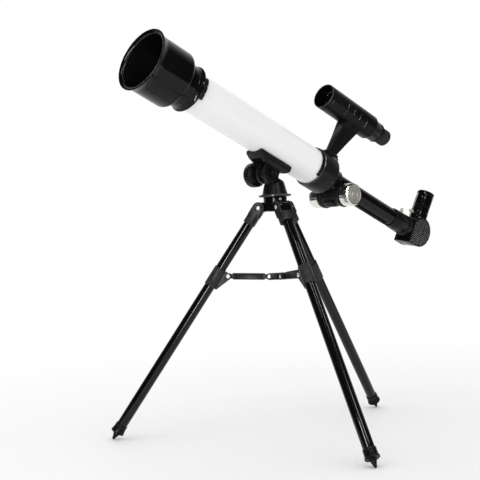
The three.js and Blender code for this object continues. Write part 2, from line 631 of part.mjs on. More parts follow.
const TOOTH_PITCH = Math.PI * MODULE;
const PITCH_RADIUS = MODULE * PINION_TEETH / 2;
const BACKLASH = 0.3;

/** Straight-sided teeth on the underside of a strip; a gap lies over the pinion's centre. */
function focusRack() {
  const pitchLine = -PINION.drop + PITCH_RADIUS;
  const [tip, root, back] = [pitchLine - 0.6, pitchLine + 0.95, -DRAW.radius - GAP];
  const tipHalf = (TOOTH_PITCH / 2 - BACKLASH) / 2 - 0.6 * Math.tan(20 * DEG);
  const rootHalf = (TOOTH_PITCH / 2 - BACKLASH) / 2 + 0.95 * Math.tan(20 * DEG);
  const outline = [[RACK.start, back], [RACK.start, root]];
  const first = Math.ceil((RACK.start + 2 - PINION.x) / TOOTH_PITCH);
  const last = Math.floor((RACK.end - 2 - PINION.x) / TOOTH_PITCH) - 1;
  for (let k = first; k <= last; k++) {
    const centre = PINION.x + (k + 0.5) * TOOTH_PITCH;
    outline.push([centre - rootHalf, root], [centre - tipHalf, tip]);
    outline.push([centre + tipHalf, tip], [centre + rootHalf, root]);
  }
  outline.push([RACK.end, root], [RACK.end, back]);
  return mesh('focus_rack', onAxis(extruded('y', outline, -RACK.halfWidth, RACK.halfWidth)), SATIN_BLACK);
}

function drawTube() {
  const { radius, wall, front, back } = DRAW;
  return mesh('draw_tube', onAxis(pipe('x', radius, radius - wall, front, back)), GLOSS_BLACK);
}

/** Socket on the end of the draw tube that receives the diagonal. */
function drawCollar() {
  const { start, end, frontRadius, backRadius } = COLLAR;
  const bore = DRAW.radius + GAP;
  const shell = turned('x', [
    [bore, start], [frontRadius, start], [frontRadius + 0.4, start + 3], [backRadius - 0.6, start + 7],
    [backRadius, end - 8], [backRadius, end - 1], [backRadius - 1, end],
    [DRAW.radius - DRAW.wall, end], [DRAW.radius - DRAW.wall, DRAW.back + GAP], [bore, DRAW.back + GAP],
  ]);
  const screwHole = rod('z', THUMB.shankRadius + GAP, 5, 20, FINE).translate(DIAGONAL_SCREW_X, 0, 0);
  return mesh('draw_collar', onAxis(cut(shell, screwHole)), SATIN_BLACK);
}

function focusPinion() {
  const [tip, root] = [PITCH_RADIUS + 0.6, PITCH_RADIUS - 0.95];
  const halfAngle = (width, radius) => width / 2 / radius;
  const thick = TOOTH_PITCH / 2 - BACKLASH;
  const outline = [];
  for (let i = 0; i < PINION_TEETH; i++) {
    const middle = Math.PI / 2 + 2 * Math.PI * i / PINION_TEETH;
    const flank = [
      [root, -halfAngle(thick * 1.35, PITCH_RADIUS)], [PITCH_RADIUS, -halfAngle(thick, PITCH_RADIUS)],
      [tip, -halfAngle(thick * 0.5, tip)], [tip, halfAngle(thick * 0.5, tip)],
      [PITCH_RADIUS, halfAngle(thick, PITCH_RADIUS)], [root, halfAngle(thick * 1.35, PITCH_RADIUS)],
    ];
    for (const [radius, turn] of flank) {
      outline.push([radius * Math.cos(middle + turn), radius * Math.sin(middle + turn)]);
    }
  }
  const gear = extruded('y', outline, -PINION.gearHalf, PINION.gearHalf);
  const shaft = rod('y', PINION.shaftRadius, -KNOB.end + 5, KNOB.end - 5, 16);
  const placed = join(gear, shaft).translate(PINION.x, 0, -PINION.drop);
  return mesh('focus_pinion', onAxis(placed), STEEL);
}

/** Hollow-faced knob with a fluted grip; side is -1 for the near knob and 1 for the far one. */
function focusKnob(name, side) {
  const { radius, start, end, flutes } = KNOB;
  const grip = extruded('y', flutedOutline(radius, 0.5, flutes, 2), start + 1.5, end - 2.2);
  const core = turned('y', [
    [0, start], [radius - 3, start], [radius - 0.9, start + 1.8],
    [radius - 0.9, end - 1.6], [radius - 1.6, end], [radius - 2.6, end],
    [radius - 3.4, end - 1.1], [0, end - 1.1],
  ], KNOB.flutes);
  const bore = rod('y', PINION.shaftRadius + GAP, start - 1, end - 5 + GAP, FINE);
  const knob = cut(join(grip, core), bore);
  if (side < 0) knob.rotateZ(Math.PI);
  return mesh(name, onAxis(knob.translate(PINION.x, 0, -PINION.drop)), CHROME);
}

// ---- Star diagonal ---------------------------------------------------------------------------

/** D-shaped side view: a round back and top, a flat front, and a square corner at the bottom. */
function diagonalOutline(inset) {
  const front = DIAGONAL.front + inset;
  const radius = DIAGONAL.radius - inset;
  const topFront = Math.acos((front - EYE.x) / radius) / DEG;
  return [[front, -radius], ...arc(EYE.x, 0, radius, -90, topFront, 12)];
}

/** Everything that turns with the diagonal leans to the near side by the same angle. */
function onDiagonal(geometry) {
  return onAxis(geometry.rotateX(DIAGONAL_TURN * DEG));
}

function diagonalBody() {
  const { halfWidth, radius } = DIAGONAL;
  const block = extruded('y', diagonalOutline(0.3), -halfWidth, halfWidth);
  const socket = turned('z', [
    [0, 10], [EYE.socketRadius - 0.4, 10], [EYE.socketRadius, radius],
    [EYE.socketRadius, EYE.socketTop - 0.8], [EYE.socketRadius - 0.8, EYE.socketTop], [0, EYE.socketTop],
  ]).translate(EYE.x, 0, 0);
  const spigot = rod('x', BARREL.radius, BARREL.front, DIAGONAL.front + 4);
  const hollows = [
    rod('x', BARREL.bore, BARREL.front - 1, EYE.x),
    rod('z', EYE_BARREL.radius + GAP, -1, EYE.socketTop + 1).translate(EYE.x, 0, 0),
    rod('z', BARREL.bore, -4, 0).translate(EYE.x, 0, 0),
    rod('x', THUMB.shankRadius + GAP, EYE.x - 20, EYE.x - 5, FINE).translate(0, 0, EYE_SCREW_HEIGHT),
    mirrorSlab(GAP),
  ];
  const hollowed = cut(join(block, socket, spigot), ...hollows);
  return mesh('diagonal_body', onDiagonal(hollowed), GLOSS_BLACK);
}

/** Flat mirror at 45 degrees behind the meeting point of the two bores. */
function mirrorSlab(grow) {
  const slab = box(-12 - grow, 12 + grow, -10.2 - grow, 10.2 + grow, -2 - grow, grow * 0.1);
  return slab.rotateY(-Math.PI / 4).rotateY(Math.PI).translate(EYE.x + 2.2, 0, -2.2);
}

function diagonalMirror() {
  return mesh('diagonal_mirror', onDiagonal(mirrorSlab(0)), SILVERED);
}

function diagonalPlate(name, side) {
  const { halfWidth, plate } = DIAGONAL;
  const [from, to] = [(halfWidth + GAP) * side, (halfWidth + GAP + plate) * side].sort((p, q) => p - q);
  return mesh(name, onDiagonal(extruded('y', diagonalOutline(0), from, to)), SATIN_BLACK);
}

/** Knurled thumbscrew along +z, its head starting at the given place. */
function thumbScrew(shankFrom, headFrom) {
  const { headRadius, headLength, shankRadius } = THUMB;
  const headEnd = headFrom + headLength;
  const head = extruded('z', flutedOutline(headRadius, 0.4, 10, 2), headFrom, headEnd - 1.2);
  const cap = turned('z', [
    [0, headFrom - 0.6], [headRadius - 0.6, headFrom - 0.6], [headRadius - 0.5, headEnd - 0.6],
    [headRadius - 1.2, headEnd], [0, headEnd],
  ], FINE);
  const shank = rod('z', shankRadius, shankFrom, headFrom + 1, FINE);
  return join(head, cap, shank);
}

function diagonalScrew() {
  const screw = thumbScrew(BARREL.radius + GAP, COLLAR.backRadius + 1).translate(DIAGONAL_SCREW_X, 0, 0);
  return mesh('diagonal_thumbscrew', onAxis(screw), CHROME);
}

/** Backed off, its tip inside the socket's wall, so that the eyepiece is free to slide. */
function eyepieceScrew() {
  const screw = thumbScrew(EYE.socketRadius - 0.7, EYE.socketRadius + 2.4).rotateY(-Math.PI / 2);
  return mesh('eyepiece_thumbscrew', onDiagonal(screw.translate(EYE.x, 0, EYE_SCREW_HEIGHT)), CHROME);
}

// ---- Eyepiece --------------------------------------------------------------------------------

function eyepieceBody() {
  const { radius, top, socketTop } = EYE;
  const shoulder = socketTop + GAP;
  const shell = turned('z', [
    [8.4, EYE_BARREL.bottom], [EYE_BARREL.radius, EYE_BARREL.bottom], [EYE_BARREL.radius, shoulder],
    [radius, shoulder], [radius, shoulder + 6], [radius - 0.5, shoulder + 6.5], [radius - 0.5, shoulder + 8],
    [radius, shoulder + 8.5], ...arc(radius - 1.6, top - 1.8, 1.8, 0, 90, 2),
    [8.6, top], [EYE_LENS.radius - 0.9, top - 3], [EYE_LENS.radius - 0.9, top - EYE_LENS.drop],
    [EYE_LENS.radius + GAP, top - EYE_LENS.drop], [EYE_LENS.radius + GAP, top - EYE_LENS.drop - 5],
    [8.6, top - EYE_LENS.drop - 7],
  ]);
  return mesh('eyepiece_body', onDiagonal(shell.translate(EYE.x, 0, 0)), GLOSS_BLACK);
}

function eyepieceLens() {
  const face = EYE.top - EYE_LENS.drop - GAP;
  const lens = turned('z', [
    [0, face - 3.6], [EYE_LENS.radius, face - 3.6], [EYE_LENS.radius, face],
    [EYE_LENS.radius * 0.6, face + 0.5], [0, face + 0.8],
  ]);
  return mesh('eyepiece_lens', onDiagonal(lens.translate(EYE.x, 0, 0)), GLASS);
}

// ---- Finder ----------------------------------------------------------------------------------

const onFinderAxis = (geometry) => geometry.translate(0, 0, TUBE_AXIS + FINDER.height);

function finderTube() {
  const { front, back, radius, tailRadius, tailEnd, wall } = FINDER;
  const shell = turned('x', [
    [radius - wall, front], [radius - 0.4, front], [radius, front + 0.8],
    [radius, back - 1], [radius - 1, back], [tailRadius, back + 0.6],
    [tailRadius, tailEnd - 1], [tailRadius - 1, tailEnd],
    [FINDER_EYE.barrelRadius + GAP, tailEnd], [FINDER_EYE.barrelRadius + GAP, back + 6],
    [radius - wall, back - 6],
  ], 22);
  return mesh('finder_tube', onFinderAxis(shell), SATIN_BLACK);
}

/** Wedge that rises from the rear housing and cradles the finder. */
function finderStem() {
  const { footFront, footBack, footHeight, topFront, topBack } = STEM;
  const top = FINDER.height - 4;
  const sideView = extruded('y', [
    [footFront, footHeight], [footBack, footHeight], [topBack, top - 11], [topBack + 4, top],
    [topFront, top],
  ], -12, 12);
  const endView = extruded('x', [
    [-4.6, footHeight], [4.6, footHeight], [6, 60], [10.5, top], [-10.5, top], [-6, 60],
  ], 60, 160);
  const cradle = rod('x', FINDER.radius + GAP, 50, 160, WIDE).translate(0, 0, FINDER.height);
  const cheeks = common(sideView, endView);
  return mesh('finder_stem', onAxis(cut(cheeks, cradle)), SATIN_BLACK);
}

/** Round nut at the back of the shoe that locks the stem. */
function finderNut() {
  const nut = turned('x', [[0, 0], [3.8, 0], [3.8, 3], [3.2, 3.8], [0, 3.8]], 16);
  nut.translate(STEM.footBack + 3 + GAP, 0, STEM.footHeight - 5.5);
  return mesh('finder_lock_nut', onAxis(nut), SATIN_BLACK);
}

function finderObjective() {
  const { front, radius, wall } = FINDER;
  const [rim, face] = [radius - wall - GAP, front + 16];
  const lens = turned('x', [
    [0, face - 1.5], [rim * 0.6, face - 0.9], [rim, face], [rim, face + 2.5], [0, face + 2.5],
  ]);
  return mesh('finder_objective', onFinderAxis(lens), GLASS);
}

function finderEyepiece() {
  const { radius, end, barrelRadius } = FINDER_EYE;
  const start = FINDER.tailEnd + GAP;
  const shell = turned('x', [
    [6.4, start - 12], [barrelRadius, start - 12], [barrelRadius, start], [radius, start],
    [radius, start + 1.4], [radius - 0.5, start + 2], [radius - 0.5, start + 3.4], [radius, start + 4],
    ...arc(radius - 1.6, end - 1.6, 1.6, 0, 90, 2),
    [7.4, end], [5.2, end - 2.2], [5.2, end - 4], [6.4, end - 4],
  ]);
  return mesh('finder_eyepiece', onFinderAxis(shell), SATIN_BLACK);
}

function finderEyeLens() {
  const face = FINDER_EYE.end - 4 - GAP;
  const lens = turned('x', [[0, face - 3], [6.1, face - 3], [6.1, face], [0, face + 0.2]]);
  return mesh('finder_eye_lens', onFinderAxis(lens), GLASS);
}

// ---- Assembly --------------------------------------------------------------------------------

function opticalTube() {
  const tube = group(
    tubeSaddle(), mainTube(), lensCell(), objectiveLens(), retainingRing(), cellClip(), dewShield(),
    rearHousing(), pinionCover(), finderStem(), finderNut(), finderTube(), finderObjective(),
    finderEyepiece(), finderEyeLens(),
    focusPinion(), focusKnob('focus_knob_near', -1), focusKnob('focus_knob_far', 1),
    drawTube(), focusRack(), drawCollar(), diagonalScrew(),
    diagonalBody(), diagonalPlate('diagonal_plate_near', -1), diagonalPlate('diagonal_plate_far', 1),
    diagonalMirror(), eyepieceScrew(), eyepieceBody(), eyepieceLens(),
  );
  tube.position.set(-TUBE_ORIGIN.forward, 0, TUBE_ORIGIN.height);
  tube.rotation.y = ALTITUDE * DEG;
  return tube;
}

const tripod = group(crown(), tensionScrew(), spreaderHub());
legAzimuths().forEach((azimuth, i) => tripod.add(leg(i + 1, azimuth)));
const head = group(turntablePost(), swivelBolt(), pivotBolt(), altitudeKnob());
const telescope = group(tripod, head, opticalTube());

// The origin is the middle of the space that the telescope stands on.
telescope.updateMatrixWorld(true);
const extent = new THREE.Box3().setFromObject(telescope, true);
const middle = extent.getCenter(new THREE.Vector3());
telescope.position.set(-middle.x, -middle.y, -extent.min.z);

export default telescope;
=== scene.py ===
"""Small refractor telescope on a folding table tripod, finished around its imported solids."""
import json
import math

import bmesh
import bpy
from bpy.props import FloatProperty, FloatVectorProperty, IntProperty, PointerProperty
from mathutils import Matrix, Vector

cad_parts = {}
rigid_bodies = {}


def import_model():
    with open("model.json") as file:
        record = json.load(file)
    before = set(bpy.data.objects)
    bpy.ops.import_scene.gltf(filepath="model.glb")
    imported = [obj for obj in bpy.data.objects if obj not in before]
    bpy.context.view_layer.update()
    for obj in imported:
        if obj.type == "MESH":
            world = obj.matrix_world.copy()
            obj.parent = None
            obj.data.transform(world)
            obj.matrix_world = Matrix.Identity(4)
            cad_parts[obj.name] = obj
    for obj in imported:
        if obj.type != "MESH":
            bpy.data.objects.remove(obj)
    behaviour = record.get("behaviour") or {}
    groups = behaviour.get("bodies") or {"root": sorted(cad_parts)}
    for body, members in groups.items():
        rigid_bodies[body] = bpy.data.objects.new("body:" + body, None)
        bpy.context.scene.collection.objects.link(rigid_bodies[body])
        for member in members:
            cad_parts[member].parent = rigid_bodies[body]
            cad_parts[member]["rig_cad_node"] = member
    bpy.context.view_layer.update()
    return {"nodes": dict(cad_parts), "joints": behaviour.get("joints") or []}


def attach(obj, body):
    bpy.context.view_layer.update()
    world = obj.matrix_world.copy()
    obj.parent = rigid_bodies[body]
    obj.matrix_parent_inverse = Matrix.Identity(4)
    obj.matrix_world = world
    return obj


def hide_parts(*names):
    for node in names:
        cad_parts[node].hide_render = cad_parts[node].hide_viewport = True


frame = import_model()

bl_info = {
    "name": "Table Telescope",
    "version": (1, 0, 0),
    "blender": (4, 5, 0),
    "location": "View3D > Sidebar > Telescope",
    "description": "Models and finishes a small refractor on a folding tripod",
    "category": "Object",
}

MM = 0.001
FLOOR_RADIUS = 1.1  # metres
SURROUND = 14  # times as wide as the floor
FINISHES = {}  # materials by the name of their finish
LEGS = (1, 2, 3)


# ---- Places in the model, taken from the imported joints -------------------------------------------
JOINTS = {joint["name"]: joint for joint in frame["joints"]}


def pivot(name):
    """Where a joint's axis passes, in metres."""
    return Vector(JOINTS[name]["pos_m"])


def slide_way(name):
    """The direction a slide moves in."""
    return Vector(JOINTS[name]["axis"]).normalized()


TUBE_WAY = slide_way("focus_slide")
ALTITUDE = math.atan2(-TUBE_WAY.z, TUBE_WAY.x)
PIVOT_ALONG, PIVOT_HEIGHT = -12, 343.3  # the altitude pivot, from the middle of the stand
CRADLE_ALONG = -8.5
AXIS_HEIGHT = 41.1
FINDER_HEIGHT = 102.5
PINION_ALONG, PINION_DROP = 126.6, 18.2
STAND = pivot("altitude_tilt") - Vector((PIVOT_ALONG, 0, PIVOT_HEIGHT)) * MM
DIAGONAL_LEAN = math.radians(7.5)
EYE_ALONG = 303.3  # where the eyepiece's axis crosses the tube's
LEG_SPLAY = math.radians(35.34)
ARM_ALONG, ARM_INWARD = 97.2, 14  # the spreader arm's rivet, from the leg's hinge
HINGE = Vector((22, 0, 299))
HUB_RADIUS = 12.4  # of the rivets in the spreader's hub
HUB_CHEEK = 3.65  # from a lobe's middle to its outside
FIRST_LEG = 10


def shift(x=0, y=0, z=0):
    return Matrix.Translation(Vector((x, y, z)) * MM)


def turn(degrees, axis):
    return Matrix.Rotation(math.radians(degrees), 4, axis)


STAND_PLACE = Matrix.Translation(STAND)
CRADLE_PLACE = (STAND_PLACE @ shift(CRADLE_ALONG, 0, PIVOT_HEIGHT)
                @ Matrix.Rotation(ALTITUDE, 4, "Y"))
TUBE_PLACE = CRADLE_PLACE @ shift(z=AXIS_HEIGHT)
FINDER_PLACE = TUBE_PLACE @ shift(z=FINDER_HEIGHT)
DIAGONAL_PLACE = TUBE_PLACE @ Matrix.Rotation(DIAGONAL_LEAN, 4, "X")
EYE_PLACE = DIAGONAL_PLACE @ shift(x=EYE_ALONG) @ turn(-90, "Y")  # x runs up the eyepiece
PINION_PLACE = TUBE_PLACE @ shift(x=PINION_ALONG, z=-PINION_DROP)
PIVOT_PLACE = STAND_PLACE @ shift(PIVOT_ALONG, 0, PIVOT_HEIGHT)


def azimuth(leg):
    return FIRST_LEG + 120 * (leg - 1)


def hinge_place(leg):
    return STAND_PLACE @ turn(azimuth(leg), "Z") @ shift(*HINGE)


def leg_place(leg):
    """x runs down the leg from its hinge, y along the hinge pin."""
    return hinge_place(leg) @ Matrix.Rotation(math.pi / 2 - LEG_SPLAY, 4, "Y")


# ---- Modelling -----------------------------------------------------------------------------------
def alone(obj=None):
    """Leaves only this object selected, or nothing."""
    if bpy.context.object and bpy.context.object.mode != "OBJECT":
        bpy.ops.object.mode_set(mode="OBJECT")
    bpy.ops.object.select_all(action="DESELECT")
    if obj:
        obj.select_set(True)
        bpy.context.view_layer.objects.active = obj


def arc(along, out, radius, first, last, steps=6):
    """Points (along, out) on an arc; angles in degrees from the along direction."""
    angles = [math.radians(first + (last - first) * i / steps) for i in range(steps + 1)]
    return [(along + radius * math.cos(a), out + radius * math.sin(a)) for a in angles]


def turned(name, profile, segments=96, ease=0, sweep=360, start=0):
    """Draws a half section beside the x axis, point by point, and spins it round that axis.

    The selection is made anew after loose edges are deleted, since that clears it."""
    alone()
    bpy.ops.mesh.primitive_plane_add(size=1, location=(0, 0, 0))
    obj = bpy.context.object
    obj.name = name
    bpy.ops.object.mode_set(mode="EDIT")
    bpy.ops.mesh.select_all(action="SELECT")
    bpy.ops.mesh.merge(type="CENTER")
    x, radius = profile[0]
    bpy.ops.transform.translate(value=(x, 0, radius))
    points = list(profile[1:])
    if profile[0][1] > 0 or profile[-1][1] > 0:
        points.append(profile[0])
    for along, out in points:
        bpy.ops.mesh.extrude_region_move(
            TRANSFORM_OT_translate={"value": (along - x, 0, out - radius)})
        x, radius = along, out
    bpy.ops.mesh.select_all(action="SELECT")
    bpy.ops.mesh.remove_doubles(threshold=0.001)
    full = abs(sweep - 360) < 0.01
    if not full:
        bpy.ops.mesh.edge_face_add()
        bpy.ops.mesh.select_all(action="SELECT")
        if start:
            bpy.ops.transform.rotate(value=-math.radians(start), orient_axis="X",
                                     center_override=(0, 0, 0))
    bpy.ops.mesh.spin(steps=segments, angle=math.radians(sweep), center=(0, 0, 0), axis=(1, 0, 0))
    bpy.ops.mesh.select_all(action="SELECT")
    bpy.ops.mesh.remove_doubles(threshold=0.001)
    bpy.ops.mesh.delete_loose(use_verts=False, use_edges=True, use_faces=False)
    bpy.ops.mesh.select_all(action="SELECT")
    bpy.ops.mesh.normals_make_consistent(inside=False)
    bpy.ops.object.mode_set(mode="OBJECT")
    if ease:
        eased(obj, ease)
    return obj


def weigh_edges(obj, angle, spared):
    """Marks the sharp edges, all but those with both ends in a spared place."""
    shape = bmesh.new()
    shape.from_mesh(obj.data)
    marked = [edge.index for edge in shape.edges
              if edge.calc_face_angle(0) > math.radians(angle)
              and not all(spared(corner.co) for corner in edge.verts)]
    shape.free()
    weights = obj.data.attributes.new("bevel_weight_edge", "FLOAT", "EDGE")
    for index in marked:
        weights.data[index].value = 1


def eased(obj, width, segments=2, angle=30, clamp=True, spared=None):
    """Rounds the sharp edges with a bevel; the spared ones stay sharp."""
    alone(obj)
    if spared:
        weigh_edges(obj, angle, spared)
    bevel = obj.modifiers.new("ease", "BEVEL")
    bevel.width = width
    bevel.segments = segments
    bevel.limit_method = "WEIGHT" if spared else "ANGLE"
    bevel.angle_limit = math.radians(angle)
    bevel.use_clamp_overlap = clamp
    bpy.ops.object.modifier_apply(modifier=bevel.name)
    return obj


def casting(node, name, ease=0.4, segments=2, clamp=True, spared=None):
    """A solid of the model as a moulding: welded, its flats made whole and its corners rounded."""
    source = frame["nodes"][node]
    alone(source)
    bpy.ops.object.duplicate()
    obj = bpy.context.object
    obj.name = name
    del obj["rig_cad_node"]
    obj.parent = None
    obj.matrix_world = Matrix.Scale(1 / MM, 4)
    obj.data.materials.clear()
    bpy.ops.object.transform_apply(location=True, rotation=True, scale=True)
    bpy.ops.mesh.customdata_custom_splitnormals_clear()
    bpy.ops.object.mode_set(mode="EDIT")
    bpy.ops.mesh.select_all(action="SELECT")
    bpy.ops.mesh.remove_doubles(threshold=0.002)
    bpy.ops.mesh.dissolve_limited(angle_limit=math.radians(0.6))
    bpy.ops.object.mode_set(mode="OBJECT")
    if ease:
        eased(obj, ease, segments, clamp=clamp, spared=spared)
    return obj


def pick(obj, test):
    """In edit mode, selects the corners whose place passes the test."""
    bpy.ops.mesh.select_mode(type="VERT")
    bpy.ops.mesh.select_all(action="DESELECT")
    shape = bmesh.from_edit_mesh(obj.data)
    for corner in shape.verts:
        if test(corner.co):
            corner.select_set(True)
    shape.select_flush(True)
    bmesh.update_edit_mesh(obj.data)


def fluted(obj, flutes, steps, depth, first, last, least=0):
    """Presses hollows along a grip: each column of corners is drawn in by how far round its flute
    it lies."""
    alone(obj)
    bpy.ops.object.mode_set(mode="EDIT")
    count = flutes * steps

    def column(co):
        return round(math.atan2(co.y, co.z) / (2 * math.pi) * count) % steps

    for phase in range(1, steps):
        hollow = depth * (0.5 - 0.5 * math.cos(2 * math.pi * phase / steps))
        pick(obj, lambda co: first <= co.x <= last and math.hypot(co.y, co.z) > least
             and column(co) == phase)
        scale = 1 - hollow
        bpy.ops.transform.resize(value=(1, scale, scale), center_override=(0, 0, 0))
    bpy.ops.object.mode_set(mode="OBJECT")
    return obj


def block(name, low, high, ease=0.3, segments=2):
    """A bar between two corners, its edges rounded."""
    alone()
    low, high = Vector(low), Vector(high)
    bpy.ops.mesh.primitive_cube_add(size=1, location=(low + high) / 2)
    obj = bpy.context.object
    obj.name = name
    obj.scale = high - low
    bpy.ops.object.transform_apply(location=True, rotation=True, scale=True)
    if ease:
        eased(obj, ease, segments)
    return obj


def joined(first, *others):
    """One piece out of several shapes."""
    alone(first)
    for obj in others:
        obj.select_set(True)
    bpy.context.view_layer.objects.active = first
    bpy.ops.object.join()
    return first


def placed(obj, place):
    """Moves a shape by a matrix whose lengths are in millimetres."""
    alone(obj)
    obj.matrix_world = place
    bpy.ops.object.transform_apply(location=True, rotation=True, scale=True)
    return obj


def again(obj, name):
    """A copy with a mesh of its own."""
    alone(obj)
    bpy.ops.object.duplicate()
    copy = bpy.context.object
    copy.name = name
    return copy


def millimetres(place):
    """The same place for a shape still drawn in millimetres and left in them."""
    moved = place.copy()
    moved.translation = moved.translation / MM
    return moved


def settle(obj, place, body, finishes, replaces=(), smooth=34):
    """Puts a finished piece at its place in the model, and on the body it rides on."""
    alone(obj)
    if place is None:
        place = Matrix.Identity(4)
    obj.matrix_world = place @ Matrix.Scale(MM, 4)
    bpy.ops.object.transform_apply(location=True, rotation=True, scale=True)
    bpy.ops.object.shade_smooth_by_angle(angle=math.radians(smooth))
    indices = [face.material_index for face in obj.data.polygons]
    obj.data.materials.clear()
    for finish in finishes:
        obj.data.materials.append(FINISHES[finish])
    for face, index in zip(obj.data.polygons, indices):
        face.material_index = min(index, len(finishes) - 1)
    obj.data.name = obj.name
    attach(obj, body)
    if replaces:
        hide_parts(*replaces)
    return obj


def cast(node, name, body, finish, ease, segments=2, spared=None):
    """A moulding in one finish, in place of its solid."""
    return settle(casting(node, name, ease, segments, spared=spared), None, body, [finish],
                  [node])


def repeated(stud, places):
    """A copy of a stud at every place; the stud itself goes."""
    copies = [placed(again(stud, "stud"), place) for place in places]
    bpy.data.objects.remove(stud)
    return copies


def second_finish(obj, test, index=1):
    """Gives another finish to the faces whose middle and normal pass the test."""
    for face in obj.data.polygons:
        if test(face.center, face.normal):
            face.material_index = index
    return obj


def inwards(middle, normal):
    """Faces that look at the x axis, such as the wall of a bore."""
    return middle.y * normal.y + middle.z * normal.z < -0.25 * math.hypot(middle.y, middle.z)


# ---- Finishes ------------------------------------------------------------------------------------
class Recipe:
    """A procedural material in the making: one principled surface and the nodes that feed it."""

    def __init__(self, name, colour, roughness, metallic=0.0, coat=0.0, coat_roughness=0.05,
                 specular=0.5, ior=1.5, transmission=0.0):
        self.material = FINISHES[name] = bpy.data.materials.new("finish_" + name)
        self.material.use_nodes = True
        self.tree = self.material.node_tree
        self.surface = self.tree.nodes["Principled BSDF"]
        self.material.diffuse_color = (*colour, 1)
        constants = {
            "Base Color": (*colour, 1), "Roughness": roughness, "Metallic": metallic,
            "Coat Weight": coat, "Coat Roughness": coat_roughness,
            "Specular IOR Level": specular, "IOR": ior, "Transmission Weight": transmission,
        }
        for socket, value in constants.items():
            self.surface.inputs[socket].default_value = value
        self.colour = colour
        self.roughness = roughness
        self.place = self.add("ShaderNodeTexCoord").outputs["Object"]
        self.bump = None

    def add(self, kind, **settings):
        node = self.tree.nodes.new(kind)
        for key, value in settings.items():
            if key in node.inputs:
                node.inputs[key].default_value = value
            else:
                setattr(node, key, value)
        return node

    def link(self, source, target):
        self.tree.links.new(source, target)

    def noise(self, scale, detail=3.0, roughness=0.5, stretch=None):
        place = self.place
        if stretch:
            mapping = self.add("ShaderNodeMapping")
            mapping.inputs["Scale"].default_value = stretch
            self.link(place, mapping.inputs["Vector"])
            place = mapping.outputs["Vector"]
        noise = self.add("ShaderNodeTexNoise", Scale=scale, Detail=detail, Roughness=roughness)
        self.link(place, noise.inputs["Vector"])
        return noise.outputs["Fac"]

    def ramp(self, factor, stops):
        ramp = self.add("ShaderNodeValToRGB").color_ramp
        node = self.tree.nodes[-1]
        while len(ramp.elements) < len(stops):
            ramp.elements.new(0.5)
        for element, (position, colour) in zip(ramp.elements, stops):
            element.position = position
            element.color = (*colour, 1)
        self.link(factor, node.inputs["Fac"])
        return node.outputs["Color"]

    def spread(self, factor, low, high, first=0.3, last=0.7):
        reach = self.add("ShaderNodeMapRange")
        for socket, value in zip(("From Min", "From Max", "To Min", "To Max"),
                                 (first, last, low, high)):
            reach.inputs[socket].default_value = value
        self.link(factor, reach.inputs["Value"])
        return reach.outputs["Result"]

    def tinted(self, scale, amount, tone=None):
        """Slow drift of the colour between a slightly darker and a slightly lighter tone."""
        dark = tuple(c * (1 - amount) for c in self.colour)
        light = tone or tuple(min(1, c * (1 + amount)) for c in self.colour)
        self.paint = self.ramp(self.noise(scale), [(0.35, dark), (0.65, light)])
        self.link(self.paint, self.surface.inputs["Base Color"])
        return self

    def specks(self, scale, colour, share=0.3):
        """Fine dust and flecks over the paint."""
        fleck = self.spread(self.noise(scale, 1.0), 0, share, 0.68, 0.76)
        self.mixed(fleck, colour)
        return self

    def worn_and_highlit(self, colour, amount=0.5, first=0.515, last=0.56):
        """Lighter corners found by pointiness: partly rubbed wear, partly a painted highlight on the
        edges, broken up so that they aren't even.
        """
        corners = self.add("ShaderNodeNewGeometry").outputs["Pointiness"]
        # corners lightened by pointiness: partly wear, partly painted highlight
        rubbed_and_highlit = self.spread(corners, 0, amount, first, last)
        patch = self.spread(self.noise(260, 4.0), 0.35, 1.0)
        both = self.add("ShaderNodeMath", operation="MULTIPLY")
        self.link(rubbed_and_highlit, both.inputs[0])
        self.link(patch, both.inputs[1])
        self.mixed(both.outputs[0], colour)
        return self

    def mixed(self, factor, colour):
        mix = self.add("ShaderNodeMix", data_type="RGBA")
        mix.inputs[7].default_value = (*colour, 1)
        self.link(factor, mix.inputs[0])
        self.link(self.paint, mix.inputs[6])
        self.paint = mix.outputs[2]
        self.link(self.paint, self.surface.inputs["Base Color"])

    def uneven(self, scale, spread, stretch=None):
        """Patches where the surface is a little duller or glossier."""
        value = self.spread(self.noise(scale, 5.0, 0.6, stretch),
                            max(0.02, self.roughness - spread), self.roughness + spread)
        self.link(value, self.surface.inputs["Roughness"])
        return self

    def relief(self, height, strength, depth):
        bump = self.add("ShaderNodeBump", Strength=strength, Distance=depth)
        self.link(height, bump.inputs["Height"])
        if self.bump:
            self.link(self.bump, bump.inputs["Normal"])
        self.bump = bump.outputs["Normal"]
        self.link(self.bump, self.surface.inputs["Normal"])
        return self

    def grained(self, scale, strength, depth=0.0002, detail=2.0, stretch=None):
        """Orange peel, moulding grain or drawing lines, by scale and stretch."""
        return self.relief(self.noise(scale, detail, 0.5, stretch), strength, depth)

    def pebbled(self, scale, strength, depth=0.0002):
        """The fine pebble of an eroded mould."""
        cells = self.add("ShaderNodeTexVoronoi", Scale=scale)
        self.link(self.place, cells.inputs["Vector"])
        return self.relief(cells.outputs["Distance"], strength, depth)

    def ringed(self, place, pitch, strength, depth=0.00005):
        """Fine tool marks in rings about the x axis of a place."""
        mapping = self.add("ShaderNodeMapping", vector_type="TEXTURE")
        mapping.inputs["Location"].default_value = place.to_translation()
        mapping.inputs["Rotation"].default_value = place.to_euler("XYZ")
        self.link(self.place, mapping.inputs["Vector"])
        waves = self.add("ShaderNodeTexWave", wave_type="RINGS", rings_direction="X", Scale=pitch)
        self.link(mapping.outputs["Vector"], waves.inputs["Vector"])
        return self.relief(waves.outputs["Fac"], strength, depth)


